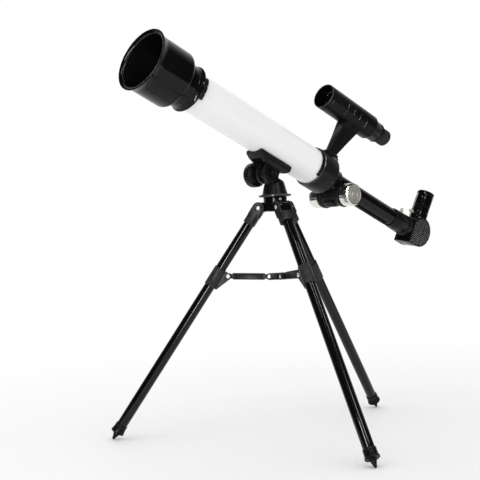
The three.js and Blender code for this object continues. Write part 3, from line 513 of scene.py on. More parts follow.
def make_finishes(colours):
    """Every paint, plating and moulding on the telescope."""
    enamel = Recipe("white_enamel", tuple(colours.enamel), 0.24, specular=0.3, coat=0.06,
                    coat_roughness=0.06)
    enamel.tinted(9, 0.012).specks(2600, (0.55, 0.54, 0.52), 0.18)
    enamel.uneven(38, 0.05).grained(420, 0.05, 0.0001)

    gloss = Recipe("gloss_black", tuple(colours.gloss), 0.13, specular=0.2)
    gloss.tinted(24, 0.3).specks(1900, (0.03, 0.03, 0.031), 0.2)
    gloss.uneven(30, 0.03).grained(520, 0.015, 0.0001)

    alloy = Recipe("leg_black", tuple(colours.leg), 0.12, specular=0.3)
    alloy.tinted(40, 0.25).specks(2200, (0.03, 0.03, 0.032), 0.2)
    alloy.uneven(55, 0.03).grained(700, 0.012, 0.0001)

    satin = Recipe("satin_black", tuple(colours.satin), 0.3, specular=0.12)
    # lighter corners: partly rubbed wear, partly painted highlight on the edges
    satin.tinted(45, 0.25).worn_and_highlit((0.05, 0.05, 0.052), 0.3)
    satin.uneven(80, 0.07).pebbled(2600, 0.06).grained(300, 0.03, 0.0002)

    grey = Recipe("joint_black", tuple(colours.joint), 0.36, specular=0.13)
    # lighter corners: partly rubbed wear, partly painted highlight on the edges
    grey.tinted(60, 0.2).worn_and_highlit((0.09, 0.092, 0.098), 0.4)
    grey.uneven(90, 0.05).pebbled(2300, 0.05).grained(260, 0.03, 0.0002)

    # a lighter grey for rims, chamfers, ledges and grip arcs: a painted highlight on those edges
    edge = Recipe("edge_painted_highlight", (0.045, 0.045, 0.044), 0.22, specular=0.5)
    edge.tinted(90, 0.25).uneven(120, 0.05).grained(500, 0.06, 0.0001)

    dull = Recipe("inside_black", (0.002, 0.002, 0.002), 0.6, specular=0.05)
    dull.tinted(70, 0.35).uneven(120, 0.08).grained(1500, 0.25, 0.0002)

    rubber = Recipe("soft_rubber", (0.012, 0.012, 0.0125), 0.62, specular=0.35)
    rubber.tinted(50, 0.3).specks(1500, (0.05, 0.05, 0.05), 0.35)
    rubber.uneven(70, 0.08).pebbled(1800, 0.18)

    plated = Recipe("plated_knob", tuple(colours.plating), 0.22, metallic=1.0, coat=0.3,
                    coat_roughness=0.1)
    plated.tinted(70, 0.05).specks(2000, (0.5, 0.49, 0.46), 0.3)
    plated.uneven(90, 0.06).ringed(PINION_PLACE @ turn(90, "Z"), 900, 0.12)

    pale = Recipe("pale_plating", tuple(colours.pale), 0.5, metallic=0.2)
    pale.tinted(160, 0.12).specks(2400, (0.3, 0.28, 0.24), 0.35)
    pale.uneven(140, 0.07).ringed(PINION_PLACE @ turn(90, "Z"), 1100, 0.25)

    faces = Recipe("face_plating", tuple(colours.face), 0.4, metallic=0.3)
    faces.tinted(160, 0.12).specks(2400, (0.2, 0.19, 0.16), 0.3)
    faces.uneven(140, 0.07).ringed(PINION_PLACE @ turn(90, "Z"), 1100, 0.25)

    steel = Recipe("steel", tuple(colours.steel), 0.26, metallic=0.5)
    steel.tinted(300, 0.12).uneven(400, 0.08).grained(2400, 0.12, 0.00005, stretch=(1, 0.15, 1))

    lens = Recipe("coated_glass", (0.78, 0.88, 0.93), 0.02, transmission=1.0, ior=1.52,
                  coat=0.6, coat_roughness=0.02)
    lens.tinted(14, 0.04).uneven(30, 0.01)

    mirror = Recipe("silvered", (0.9, 0.92, 0.93), 0.03, metallic=1.0)
    mirror.tinted(60, 0.02).uneven(40, 0.015)

    dots = Recipe("pale_dots", tuple(colours.dots), 0.32)
    dots.tinted(300, 0.12).uneven(300, 0.08).grained(1800, 0.08, 0.0001)


# ---- Settings ------------------------------------------------------------------------------------
def length(name, description, size):
    """A length in metres, its default given in millimetres."""
    return FloatProperty(name=name, description=description, default=size * MM, min=0,
                         subtype="DISTANCE", unit="LENGTH", precision=5)


def colour(name, description, red, green, blue):
    return FloatVectorProperty(name=name, description=description, default=(red, green, blue),
                               size=3, min=0, max=1, subtype="COLOR")


def count(name, description, number):
    return IntProperty(name=name, description=description, default=number, min=1)


class TelescopeColours(bpy.types.PropertyGroup):
    """Colours of the paints, platings and mouldings."""
    enamel: colour("White enamel", "Paint of the main tube", 0.89, 0.895, 0.885)
    gloss: colour("Gloss black", "Hood, cell, draw tube, diagonal, eyepiece and crown",
                  0.0035, 0.0035, 0.0034)
    leg: colour("Leg black", "Lacquer of the leg tubes", 0.003, 0.003, 0.0032)
    satin: colour("Satin black", "Saddle, post, housing and finder mouldings", 0.005, 0.005, 0.005)
    joint: colour("Joint black", "Leg heads, brackets and spreader", 0.008, 0.0084, 0.009)
    plating: colour("Knob plating", "Bright plating of the focus knobs", 0.78, 0.765, 0.72)
    pale: colour("Pale plating", "Thumbscrews", 0.58, 0.56, 0.5)
    face: colour("Face plating", "Faces of the focus knobs", 0.36, 0.348, 0.305)
    steel: colour("Steel", "Rivets and screws", 0.82, 0.82, 0.81)
    dots: colour("Pale studs", "Small studs on the diagonal's side plates", 0.56, 0.55, 0.51)


class TelescopeTube(bpy.types.PropertyGroup):
    """Sizes of the optical tube."""
    radius: length("Tube radius", "Outside radius of the main tube", 25)
    wall: length("Tube wall", "Thickness of the main tube", 1.2)
    hood_radius: length("Hood radius", "Outside radius of the hood", 37.2)
    hood_lip: length("Hood lip radius", "Outside radius of the hood's rolled lip", 40.6)
    cell_radius: length("Cell radius", "Outside radius of the lens cell", 28.6)
    finder_radius: length("Finder radius", "Outside radius of the finder", 17.8)


class TelescopeFocuser(bpy.types.PropertyGroup):
    """Sizes of the focuser, diagonal and eyepiece."""
    draw_radius: length("Draw tube radius", "Outside radius of the draw tube", 12.5)
    knob_radius: length("Knob radius", "Outside radius of the focus knobs", 15.6)
    flutes: count("Knob flutes", "Hollows round each focus knob", 16)
    eye_radius: length("Eyepiece radius", "Outside radius of the eyepiece", 12.8)
    stud_pitch: length("Stud pitch", "Distance between studs on the diagonal's plates", 3.6)
    stud_radius: length("Stud radius", "Radius of each stud", 0.5)


class TelescopeStand(bpy.types.PropertyGroup):
    """Sizes of the tripod."""
    leg_radius: length("Leg radius", "Outside radius of a leg tube", 7.05)
    leg_length: length("Leg length", "From the hinge to the foot's tip", 366.6)
    knob_radius: length("Altitude knob radius", "Outside radius of the altitude knob", 16.4)
    flutes: count("Altitude knob flutes", "Hollows round the altitude knob", 28)
    ease: length("Casting corners", "Radius of the corners of the mouldings", 0.45)


class TelescopeStage(bpy.types.PropertyGroup):
    """Floor, lights and camera."""
    floor: colour("Floor", "Colour of the floor under the tripod", 0.96, 0.96, 0.96)
    lens: FloatProperty(name="Lens", description="Focal length of the camera", default=79.57,
                        min=1, subtype="DISTANCE_CAMERA", unit="CAMERA")
    distance: length("Camera distance", "From the camera to its target", 1392)
    azimuth: FloatProperty(name="Camera azimuth",
                           description="Bearing of the camera from the front",
                           default=math.radians(-42.54), subtype="ANGLE", unit="ROTATION")
    elevation: FloatProperty(name="Camera elevation",
                             description="Height of the camera as an angle",
                             default=math.radians(0.4), subtype="ANGLE", unit="ROTATION")
    roll: FloatProperty(name="Camera roll", description="Turn of the camera about its own view",
                        default=math.radians(-2.81), subtype="ANGLE", unit="ROTATION")


class TelescopeOperator:
    """Shared by the operators that model a piece."""
    bl_options = {"REGISTER", "UNDO"}


def sizes(settings):
    """A settings group's lengths in millimetres, by name."""
    return {key: getattr(settings, key) / MM for key in settings.__annotations__
            if isinstance(getattr(settings, key), float)}


# ---- Optical tube --------------------------------------------------------------------------------
class TELESCOPE_OT_finishes(TelescopeOperator, bpy.types.Operator):
    """Makes every paint, plating and moulding finish"""
    bl_idname = "telescope.finishes"
    bl_label = "Finishes"

    def execute(self, context):
        make_finishes(context.scene.telescope_colours)
        return {"FINISHED"}


class TELESCOPE_OT_main_tube(TelescopeOperator, bpy.types.Operator):
    """Rolled and enamelled main tube, black inside, with light baffles"""
    bl_idname = "telescope.main_tube"
    bl_label = "Main Tube"

    def execute(self, context):
        size = sizes(context.scene.telescope_tube)
        outer, wall = size["radius"], size["wall"]
        tube = turned("enamelled_tube", [
            (-181, outer - wall), (-181, outer), (-120, outer), (-60, outer), (0, outer),
            (48, outer), (96, outer), (96, outer - wall),
        ], segments=144, ease=0.25)
        second_finish(tube, inwards)
        settle(tube, TUBE_PLACE, "tube", ["white_enamel", "inside_black"],
               ["main_tube"])
        return {"FINISHED"}


class TELESCOPE_OT_hood(TelescopeOperator, bpy.types.Operator):
    """Hood with a rolled front lip, a rounded shoulder and a finely threaded, dull inside"""
    bl_idname = "telescope.hood"
    bl_label = "Hood"

    def execute(self, context):
        size = sizes(context.scene.telescope_tube)
        radius, lip = size["hood_radius"], size["hood_lip"]
        front, back, wall = -239, -182.5, 1.8
        hole = size["cell_radius"] + 0.3
        grooves = []
        for i in range(22):
            x = -192.5 - 1.9 * i
            grooves += [(x, radius - wall), (x - 0.6, radius - wall + 0.45),
                        (x - 1.2, radius - wall)]
        hood = turned("hood_shell", [
            (front + 0.7, radius - wall + 1.2), *arc(front + 1.1, lip - 1.1, 1.1, 200, 20, 8),
            (front + 2.6, lip - 0.9), (front + 4.4, radius + 0.35), (front + 12, radius + 0.1),
            *arc(back - 6, radius - 6, 6, 90, 8, 10), (back, hole + 0.5), (back - 0.5, hole),
            (back - wall - 1.4, hole), *arc(back - wall - 6.4, radius - wall - 5, 5, 0, 90, 6),
            *grooves, (front + 4.1, radius - wall + 0.1), (front + 3.2, radius - wall - 0.2),
            (front + 2.5, radius - wall + 0.2),
        ], segments=160)
        second_finish(hood, lambda middle, normal: inwards(middle, normal)
                      or (normal.x < -0.5 and middle.x > front + 10))
        second_finish(hood, lambda middle, normal: middle.x < front + 2.4
                      and inwards(middle, normal), 0)
        # the lip's inner chamfer takes the lighter edge finish, a painted highlight line
        second_finish(hood, lambda middle, normal: front + 2.4 < middle.x < front + 4.2
                      and inwards(middle, normal), 2)
        settle(hood, TUBE_PLACE, "tube",
               ["gloss_black", "inside_black", "edge_painted_highlight"],
               ["dew_shield"], smooth=50)
        return {"FINISHED"}


class TELESCOPE_OT_lens_cell(TelescopeOperator, bpy.types.Operator):
    """Lens cell with its raised rear lip, retaining ring, coated objective and catch"""
    bl_idname = "telescope.lens_cell"
    bl_label = "Lens Cell"

    def execute(self, context):
        size = sizes(context.scene.telescope_tube)
        radius, lip = size["cell_radius"], 30.6
        front, back = -190, -160.5
        bore = size["radius"] + 0.3
        cell = turned("cell_ring", [
            (back, bore), (back, lip - 0.6), *arc(back - 1.4, lip - 1.0, 1.0, 40, 140, 6),
            (back - 3.5, lip - 0.9), (back - 4.4, radius + 0.1), (back - 8, radius),
            (back - 8.5, radius - 0.35), (back - 9.3, radius - 0.35), (back - 9.8, radius),
            (front + 0.5, radius), (front, radius - 0.5), (front, 24.3), (-181.9, 24.3),
            (-181.9, 22), (-181.15, 22), (-181.15, bore),
        ], segments=144, ease=0.12)
        second_finish(cell, inwards)
        settle(cell, TUBE_PLACE, "tube", ["gloss_black", "inside_black"],
               ["lens_cell"])

        ring = turned("retaining_ring", [
            (-189.8, 21.2), (-189.8, 24), (-187.0, 24), (-187.0, 21.6), (-187.6, 21.2),
            (-188.2, 21.6), (-188.8, 21.2), (-189.3, 21.5),
        ], segments=120, ease=0.1)
        settle(ring, TUBE_PLACE, "tube", ["satin_black"], ["lens_retaining_ring"])

        lens_front = -186.2
        lens = turned("objective_glass", [
            (lens_front - 2.1, 0), *[(lens_front - 2.1 * (1 - (r / 24) ** 2), r) for r in
                                     (3, 6, 9, 12, 15, 18, 21, 23.4)],
            (lens_front + 0.4, 24), (lens_front + 3.8, 24), (lens_front + 4, 23.6),
            (lens_front + 4.3, 12), (lens_front + 4.5, 0),
        ], segments=120)
        settle(lens, TUBE_PLACE, "tube", ["coated_glass"], ["objective_lens"])

        clip = casting("cell_clip", "cell_catch", 0.35)
        ridges = []
        for turn_by in (-18, -12, -6, 0, 6, 12):
            ridge = block("ridge", (-160, -30.1, -0.7), (-155.2, -29.2, 0.7), 0.2)
            ridges.append(placed(ridge, turn(turn_by, "X")))
        clip = joined(clip, *[placed(r, millimetres(TUBE_PLACE)) for r in ridges])
        settle(clip, None, "tube", ["satin_black"], ["cell_clip"])
        return {"FINISHED"}


class TELESCOPE_OT_saddle(TelescopeOperator, bpy.types.Operator):
    """Saddle under the tube, with the pivot's round boss outside its near ear"""
    bl_idname = "telescope.saddle"
    bl_label = "Saddle"

    def execute(self, context):
        ease = sizes(context.scene.telescope_stand)["ease"]
        cast("tube_saddle", "saddle_cradle", "tube", "satin_black", ease / 2)

        ear, proud = 8.4, 5.4
        face = -(ear + proud)
        boss = turned("pivot_boss", [
            (face, 0), (face, 1.6), (face + 0.5, 1.9), (face + 0.5, 2.6), (face, 2.9), (face, 3.6),
            *arc(face + 1, 3.6, 1, 180, 90, 4), (-8.7, 4.6), (-8.7, 3), (26.2, 3), (26.2, 0),
        ], segments=64, ease=0.1)
        settle(boss, PIVOT_PLACE @ turn(90, "Z"), "tube", ["satin_black"],
               ["pivot_bolt"])
        return {"FINISHED"}


class TELESCOPE_OT_rear_housing(TelescopeOperator, bpy.types.Operator):
    """Rear moulding with the pinion's drum, its cover and two small screws"""
    bl_idname = "telescope.rear_housing"
    bl_label = "Rear Housing"

    def execute(self, context):
        ease = sizes(context.scene.telescope_stand)["ease"]
        local = millimetres(TUBE_PLACE).inverted()
        ledge, ledge_inside, lip_end = 67.5, 26.8, 69.2

        def on_ledge(corner):
            place = local @ corner
            return abs(place.x - ledge) < 0.05 and math.hypot(place.y, place.z) > ledge_inside

        housing = casting("rear_housing", "housing_body", ease, spared=on_ledge)
        # the ledge's front face takes the lighter edge finish, a painted highlight
        second_finish(housing, lambda middle, normal: ledge - 0.5 < (local @ middle).x < lip_end
                      and (local.to_3x3() @ normal).x < -0.1)
        settle(housing, None, "tube", ["satin_black", "edge_painted_highlight"],
               ["rear_housing"])
        cast("pinion_cover", "pinion_drum_cover", "tube", "satin_black", 0.35)
        return {"FINISHED"}


class TELESCOPE_OT_finder(TelescopeOperator, bpy.types.Operator):
    """Finder scope on its stem, with raised grip arcs, coated lenses and a ribbed eye cup"""
    bl_idname = "telescope.finder"
    bl_label = "Finder"

    def execute(self, context):
        radius = sizes(context.scene.telescope_tube)["finder_radius"]
        wall = 1.6
        front, back = 58.5, 158.5
        tail, tail_end, barrel = 14.4, 177.5, 9.9
        shell = turned("finder_shell", [
            (front, radius - wall), (front, radius - 0.7),
            *arc(front + 0.8, radius - 0.8, 0.8, 180, 90, 4), (front + 5, radius),
            (front + 5.4, radius - 0.45), (front + 6.2, radius - 0.45), (front + 6.6, radius),
            (front + 50, radius), (back - 14, radius),
            *arc(back - 1.6, radius - 1.6, 1.6, 90, 10, 6), (back + 0.3, tail + 0.4),
            (back + 0.9, tail), (tail_end - 5, tail), (tail_end - 4.6, tail - 0.3),
            (tail_end - 4, tail - 0.3), (tail_end - 3.6, tail),
            *arc(tail_end - 1, tail - 1, 1, 90, 5, 4), (tail_end, barrel + 0.6),
            (tail_end - 0.6, barrel), (back + 6, barrel), (back - 6, radius - wall),
        ], segments=128)
        second_finish(shell, inwards)
        # the front rim takes the lighter edge finish, a painted highlight
        second_finish(shell, lambda middle, normal: middle.x < front + 0.5 and normal.x < -0.3, 2)
        settle(shell, FINDER_PLACE, "tube",
               ["satin_black", "inside_black", "edge_painted_highlight"],
               ["finder_tube"], smooth=40)

        grips = []
        for x, width, first, sweep in ((93.5, 1.5, 139, 60), (107.5, 1.2, 113, 25),
                                       (121, 1.2, 119, 29), (136, 1.3, 134, 34)):
            half = width / 2
            profile = [(x - half, radius - 0.3), (x - half * 0.8, radius + 0.2),
                       (x - half * 0.3, radius + 0.5), (x + half * 0.3, radius + 0.5),
                       (x + half * 0.8, radius + 0.2), (x + half, radius - 0.3)]
            grips.append(turned("grip", profile, max(12, sweep // 4), 0, sweep, first))
        grip = joined(*grips)
        grip.name = "finder_grip_arcs"
        # the grip arcs wear the lighter edge finish, a painted highlight
        settle(grip, FINDER_PLACE, "tube", ["edge_painted_highlight"])

        stem = casting("finder_stem", "finder_bracket", 0)
        self.narrowed(stem)
        eased(stem, 0.8, 3)
        settle(stem, None, "tube", ["satin_black"], ["finder_stem"])

        nut = turned("finder_nut", [
            (0, 0), (0, 3.3), *arc(0.5, 3.3, 0.5, 180, 90, 3), (3, 3.8), (3.4, 3.3), (3.8, 2.4),
            (3.8, 1.2), (3.5, 0.9), (3.5, 0),
        ], segments=72)
        fluted(nut, 12, 6, 0.09, 0.4, 3.2, 3)
        settle(nut, TUBE_PLACE @ shift(x=109.3, z=28.8), "tube", ["satin_black"],
               ["finder_lock_nut"])

        face = front + 16
        rim = radius - wall - 0.3
        glass = turned("finder_front_glass", [
            (face - 1.5, 0), *[(face - 1.5 * (1 - (r / rim) ** 2), r) for r in (3, 6, 9, 12)],
            (face, rim), (face + 2.5, rim), (face + 2.5, 0)], segments=96)
        settle(glass, FINDER_PLACE, "tube", ["coated_glass"], ["finder_objective"])

        eye_radius, start, end = 11.8, 177.8, 196.5
        ribs = []
        for i in range(5):
            x = start + 5.2 + i * 1.9
            ribs += [(x, eye_radius), (x + 0.4, eye_radius - 0.35), (x + 0.9, eye_radius - 0.35),
                     (x + 1.3, eye_radius)]
        cup = turned("finder_eye_cup", [
            (start - 12, 6.4), (start - 12, 9.6), (start, 9.6), (start, eye_radius - 0.2),
            (start + 0.2, eye_radius), (start + 1.4, eye_radius), (start + 2, eye_radius - 0.5),
            (start + 3.4, eye_radius - 0.5), (start + 4, eye_radius), *ribs,
            *arc(end - 1.6, eye_radius - 1.6, 1.6, 90, 0, 6), (end, 7.4), (end - 0.7, 6.5),
            (end - 2.2, 5.2), (end - 4, 5.2), (end - 4, 6.4),
        ], segments=96)
        second_finish(cup, inwards)
        settle(cup, FINDER_PLACE, "finder_focuser", ["soft_rubber", "inside_black"],
               ["finder_eyepiece"], smooth=40)
        glass = turned("finder_eye_glass", [
            (end - 7.3, 0), (end - 7.3, 6.1), (end - 4.3, 6.1), (end - 4.1, 3), (end - 4.05, 0)],
            segments=64)
        settle(glass, FINDER_PLACE, "finder_focuser", ["coated_glass"],
               ["finder_eye_lens"])
        return {"FINISHED"}

    def narrowed(self, stem):
        """Draws the stem's front edge back, more at its top than at its foot."""
        local = millimetres(TUBE_PLACE).inverted()
        alone(stem)
        bpy.ops.object.mode_set(mode="EDIT")
        for low, high, back in ((30, 50, 5.5), (50, 75, 7.1), (75, 95, 8.8)):
            pick(stem, lambda co: low < (local @ co).z < high and (local @ co).x < 98)
            bpy.ops.transform.translate(value=TUBE_WAY * back)
        bpy.ops.object.mode_set(mode="OBJECT")


# ---- Focuser -------------------------------------------------------------------------------------
class TELESCOPE_OT_focus_knobs(TelescopeOperator, bpy.types.Operator):
    """Two plated focus knobs with fluted grips and two rings of raised studs on each face"""
    bl_idname = "telescope.focus_knobs"
    bl_label = "Focus Knobs"

    def execute(self, context):
        settings = context.scene.telescope_focuser
        radius = sizes(settings)["knob_radius"]
        start, end = 19.6, 36.4
        steps = 8
        face = end - 1.1
        knob = turned("focus_knob_outer", [
            (start, 2.8), (start, radius - 3), (start + 1.2, radius - 1.1), (start + 1.5, radius),
            (start + 1.9, radius), (end - 2.7, radius), (end - 2.2, radius - 0.15),
            (end - 1.6, radius - 0.9), (end - 0.5, radius - 1.1), (end, radius - 1.6),
            (end, radius - 2.6), (end - 0.4, radius - 3.1), (face, radius - 3.4), (face, 8.4),
            (face + 0.5, 8.0), (face + 0.5, 7.2), (face, 6.8), (face, 4.4), (face + 0.6, 4),
            (face + 0.6, 1.2), (face + 0.35, 0.8), (face + 0.35, 0),
            (end - 4.7, 0), (end - 4.7, 2.8),
        ], segments=settings.flutes * steps)
        fluted(knob, settings.flutes, steps, 0.014, start + 1.4, end - 2.1, radius - 1)
        stud = turned("stud", [(face - 0.2, 0), (face - 0.2, 0.62), (face + 0.25, 0.55),
                               (face + 0.45, 0.3), (face + 0.5, 0)], 10)
        rings = ((24, 10.2), (12, 5.6))  # number of studs, radius of their ring
        knob = joined(knob, *repeated(stud, [
            turn(360 / number * i, "X") @ Matrix.Translation((0, 0, out))
            for number, out in rings for i in range(number)]))
        second_finish(knob, lambda middle, normal: middle.x > face - 0.25
                      and math.hypot(middle.y, middle.z) < radius - 2.8)
        far = again(knob, "focus_knob_outer_far")
        plating = ["plated_knob", "face_plating"]
        settle(knob, PINION_PLACE @ turn(-90, "Z"), "pinion", plating,
               ["focus_knob_near"], smooth=40)
        settle(far, PINION_PLACE @ turn(90, "Z"), "pinion", plating,
               ["focus_knob_far"], smooth=40)
        cast("focus_pinion", "pinion_gear", "pinion", "steel", 0.08, 1)
        return {"FINISHED"}


class TELESCOPE_OT_draw_tube(TelescopeOperator, bpy.types.Operator):
    """Draw tube with its rack, and the collar that holds the diagonal"""
    bl_idname = "telescope.draw_tube"
    bl_label = "Draw Tube"

    def execute(self, context):
        radius = sizes(context.scene.telescope_focuser)["draw_radius"]
        inner = radius - 1.3
        tube = turned("draw_tube_pipe", [
            (70, inner), (70, radius - 0.3), (70.3, radius), (150, radius), (220, radius),
            (265.7, radius), (266, radius - 0.3), (266, inner)], segments=120)
        second_finish(tube, inwards)
        settle(tube, TUBE_PLACE, "draw_tube", ["gloss_black", "inside_black"],
               ["draw_tube"])
        cast("focus_rack", "toothed_rack", "draw_tube", "satin_black", 0.1, 1)

        start, end, front, back = 246, 285.4, 13.9, 15.2
        collar = turned("draw_tube_collar", [
            (start, radius + 0.3), (start, front - 0.4), (start + 0.4, front),
            (start + 3, front + 0.4), (start + 4.6, back - 1.0), (start + 7, back - 0.6),
            (end - 12, back - 0.1), (end - 11.4, back - 0.5), (end - 10.6, back - 0.5),
            (end - 10, back), (end - 6.6, back),
            (end - 6.2, back - 0.45), (end - 5.4, back - 0.45), (end - 5, back), (end - 1.2, back),
            *arc(end - 1, back - 1, 1, 90, 0, 5), (end, inner + 0.2), (end - 0.2, inner),
            (266.3, inner), (266.3, radius + 0.3),
        ], segments=120)
        second_finish(collar, inwards)
        settle(collar, TUBE_PLACE, "draw_tube", ["satin_black", "inside_black"],
               ["draw_collar"], smooth=40)
        return {"FINISHED"}


def thumbscrew(name, shank_from, head_from):
    """Knurled thumbscrew along x, its head starting at the given place."""
    end = head_from + 6.5
    steps = 6
    screw = turned(name, [
        (shank_from, 0), (shank_from, 1.0), (shank_from + 0.3, 1.3), (head_from - 0.6, 1.3),
        (head_from - 0.6, 1.7), (head_from - 0.2, 1.9), (head_from, 2.3), (head_from + 0.3, 2.4),
        (end - 1.5, 2.4), (end - 1.1, 2.3), (end - 1.0, 1.95), (end - 0.5, 1.8), (end - 0.1, 1.3),
        (end, 0.8), (end, 0)], segments=14 * steps)
    return fluted(screw, 14, steps, 0.14, head_from - 0.05, end - 1.05, 2.1)


class TELESCOPE_OT_thumbscrews(TelescopeOperator, bpy.types.Operator):
    """Knurled screws that clamp the diagonal and the eyepiece"""
    bl_idname = "telescope.thumbscrews"
    bl_label = "Thumbscrews"

    def execute(self, context):
        collar_hole, socket_height = 268, 26
        upright = TUBE_PLACE @ shift(x=collar_hole) @ turn(-90, "Y")
        settle(thumbscrew("collar_screw", 11.2, 16.2), upright, "diagonal_thumbscrew",
               ["pale_plating"], ["diagonal_thumbscrew"], smooth=40)
        forward = DIAGONAL_PLACE @ shift(x=EYE_ALONG, z=socket_height) @ turn(180, "Z")
        settle(thumbscrew("socket_screw", 11.4, 15.7), forward, "eyepiece_thumbscrew",
               ["pale_plating"], ["eyepiece_thumbscrew"], smooth=40)
        return {"FINISHED"}


# ---- Diagonal and eyepiece -----------------------------------------------------------------------
def stud_places(pitch, inset):
    """Rows of studs inside the plate's outline: a round back and top, a flat front."""
    centre, front, radius = EYE_ALONG, 285.8 + inset, 22 - inset
    step = pitch * 0.64
    rows = int(2 * radius / step)
    for row in range(rows + 1):
        z = -radius + row * step
        for column in range(rows + 1):
            x = front + (column + 0.5 * (row % 2)) * pitch
            inside = math.hypot(x - centre, z) <= radius if (x > centre or z > 0) else True
            if inside:
                yield x, z


class TELESCOPE_OT_diagonal(TelescopeOperator, bpy.types.Operator):
    """Star diagonal with studded side plates and its mirror"""
    bl_idname = "telescope.diagonal"
    bl_label = "Star Diagonal"

    def execute(self, context):
        settings = context.scene.telescope_focuser
        size = sizes(settings)
        local = millimetres(DIAGONAL_PLACE).inverted()
        chamber, chamber_radius = 11.2, 16  # half its width, and its radius

        def inside(corner):
            place = local @ corner
            return (abs(place.y) < chamber
                    and math.hypot(place.x - EYE_ALONG, place.z) < chamber_radius)

        cast("diagonal_body", "diagonal_case", "diagonal", "gloss_black", 0.4,
             spared=inside)
        cast("diagonal_mirror", "diagonal_silvered_glass", "diagonal", "silvered",
             0.15, 1)
        radius = size["stud_radius"]
        half_case, gap, plate_thickness = 13.6, 0.3, 1.2
        face = half_case + gap + plate_thickness
        stud_margin = 2.6
        for side, name in ((-1, "near"), (1, "far")):
            cast(f"diagonal_plate_{name}", f"diagonal_side_{name}", "diagonal",
                 "satin_black", 0.35)
            stud = turned("stud", [(-0.15, 0), (-0.15, radius), (0.12, radius * 0.85),
                                   (0.22, radius * 0.45), (0.25, 0)], 8)
            studs = joined(*repeated(stud, [
                Matrix.Translation((x, face * side, z)) @ turn(90 * side, "Z")
                for x, z in stud_places(size["stud_pitch"], stud_margin)]))
            studs.name = f"side_studs_{name}"
            settle(studs, DIAGONAL_PLACE, "diagonal", ["pale_dots"])
        return {"FINISHED"}


class TELESCOPE_OT_eyepiece(TelescopeOperator, bpy.types.Operator):
    """Eyepiece with a ribbed grip ring, a dished top and its eye lens"""
    bl_idname = "telescope.eyepiece"
    bl_label = "Eyepiece"

    def execute(self, context):
        radius = sizes(context.scene.telescope_focuser)["eye_radius"]
        bottom, shoulder, top = 8, 31.3, 63
        body = turned("eyepiece_shell", [
            (bottom, 8.4), (bottom, 10.4), (bottom + 0.4, 10.8), (shoulder, 10.8),
            (shoulder, radius - 0.3), (shoulder + 0.3, radius), (shoulder + 6, radius),
            (shoulder + 6.5, radius - 0.5), (shoulder + 8, radius - 0.5), (shoulder + 8.5, radius),
            (shoulder + 18, radius), (top - 6, radius), (top - 5.6, radius - 0.3),
            (top - 5.0, radius - 0.3), (top - 4.6, radius),
            *arc(top - 1.8, radius - 1.8, 1.8, 90, 0, 8),
            (top, 8.6), (top - 0.6, 8.0), (top - 3, 6.1), (top - 4.5, 6.1), (top - 4.5, 7.3),
            (top - 9.5, 7.3), (top - 11.5, 8.4),
        ], segments=120)
        second_finish(body, inwards)
        settle(body, EYE_PLACE, "eyepiece", ["gloss_black", "inside_black"],
               ["eyepiece_body"], smooth=40)
        face = top - 4.8
        glass = turned("eye_lens_glass", [
            (face - 3.6, 0), (face - 3.6, 7), (face, 7), (face + 0.35, 5), (face + 0.62, 3),
            (face + 0.8, 0)], segments=80)
        settle(glass, EYE_PLACE, "eyepiece", ["coated_glass"], ["eyepiece_lens"])
        return {"FINISHED"}


# ---- Stand ---------------------------------------------------------------------------------------
class TELESCOPE_OT_mount(TelescopeOperator, bpy.types.Operator):
    """Crown, turntable post, swivel bolt, tension screw and altitude knob"""
    bl_idname = "telescope.mount"
    bl_label = "Crown and Post"

    def execute(self, context):
        settings = context.scene.telescope_stand
        size = sizes(settings)
        ease = size["ease"]
        cast("crown_hub", "crown_casting", "crown", "gloss_black", ease)
        cast("azimuth_tension_screw", "crown_set_screw", "crown", "steel", 0.12, 1)
        post = casting("turntable_post", "post_casting", ease)
        centre, rim, rim_top = pivot("azimuth_swivel") / MM, 20.4, 318
        # the flange's rim takes the lighter edge finish, a painted highlight
        second_finish(post, lambda middle, normal: middle.z < rim_top
                      and (middle - centre).to_2d().length > rim)
        settle(post, None, "turntable", ["satin_black", "edge_painted_highlight"],
               ["turntable_post"])
        cast("swivel_bolt", "swivel_hex_bolt", "turntable", "steel", 0.2, 1)

        radius, neck = size["knob_radius"], 6.6
        start, grip, end = 8.8, 18.5, 32.2
        steps = 6
        knob = turned("altitude_grip_knob", [
            (start, 3.3), (start, neck - 0.3), (start + 0.3, neck), (14.9, neck),
            (15.2, neck + 0.4), (15.8, radius - 4), (17.4, radius - 2.2), (grip, radius - 0.8),
            (grip + 0.5, radius - 0.15), (grip + 1, radius), (end - 4, radius),
            (end - 3.4, radius - 0.2), (end - 2.9, radius - 1.0), (end - 1.2, radius - 2.4),
            (end - 0.2, radius - 3.4), (end, radius - 4), (end, radius - 5.2),
            (end - 0.5, radius - 5.7), (end - 1.5, radius - 6.1), (end - 1.5, 4.2),
            (end - 1.2, 3.8), (end - 1.2, 0), (end - 5.4, 0), (end - 5.4, 3.3),
        ], segments=settings.flutes * steps)
        fluted(knob, settings.flutes, steps, 0.03, grip + 0.2, end - 2.8, radius - 1.5)
        settle(knob, PIVOT_PLACE @ turn(90, "Z"), "altitude_knob", ["satin_black"],
               ["altitude_knob"], smooth=40)
        return {"FINISHED"}


def rivet(name, shank, head, height, half):
    """Rivet along x with two domed heads."""
    dome = [(half + height * math.sin(a), head * math.cos(a))
            for a in (math.radians(step * 15) for step in range(6))]
    low = [(-x, r) for x, r in reversed(dome)]
    return turned(name, [(-half - height, 0), *low, (-half, shank), (half, shank), *dome,
                         (half + height, 0)], segments=36)


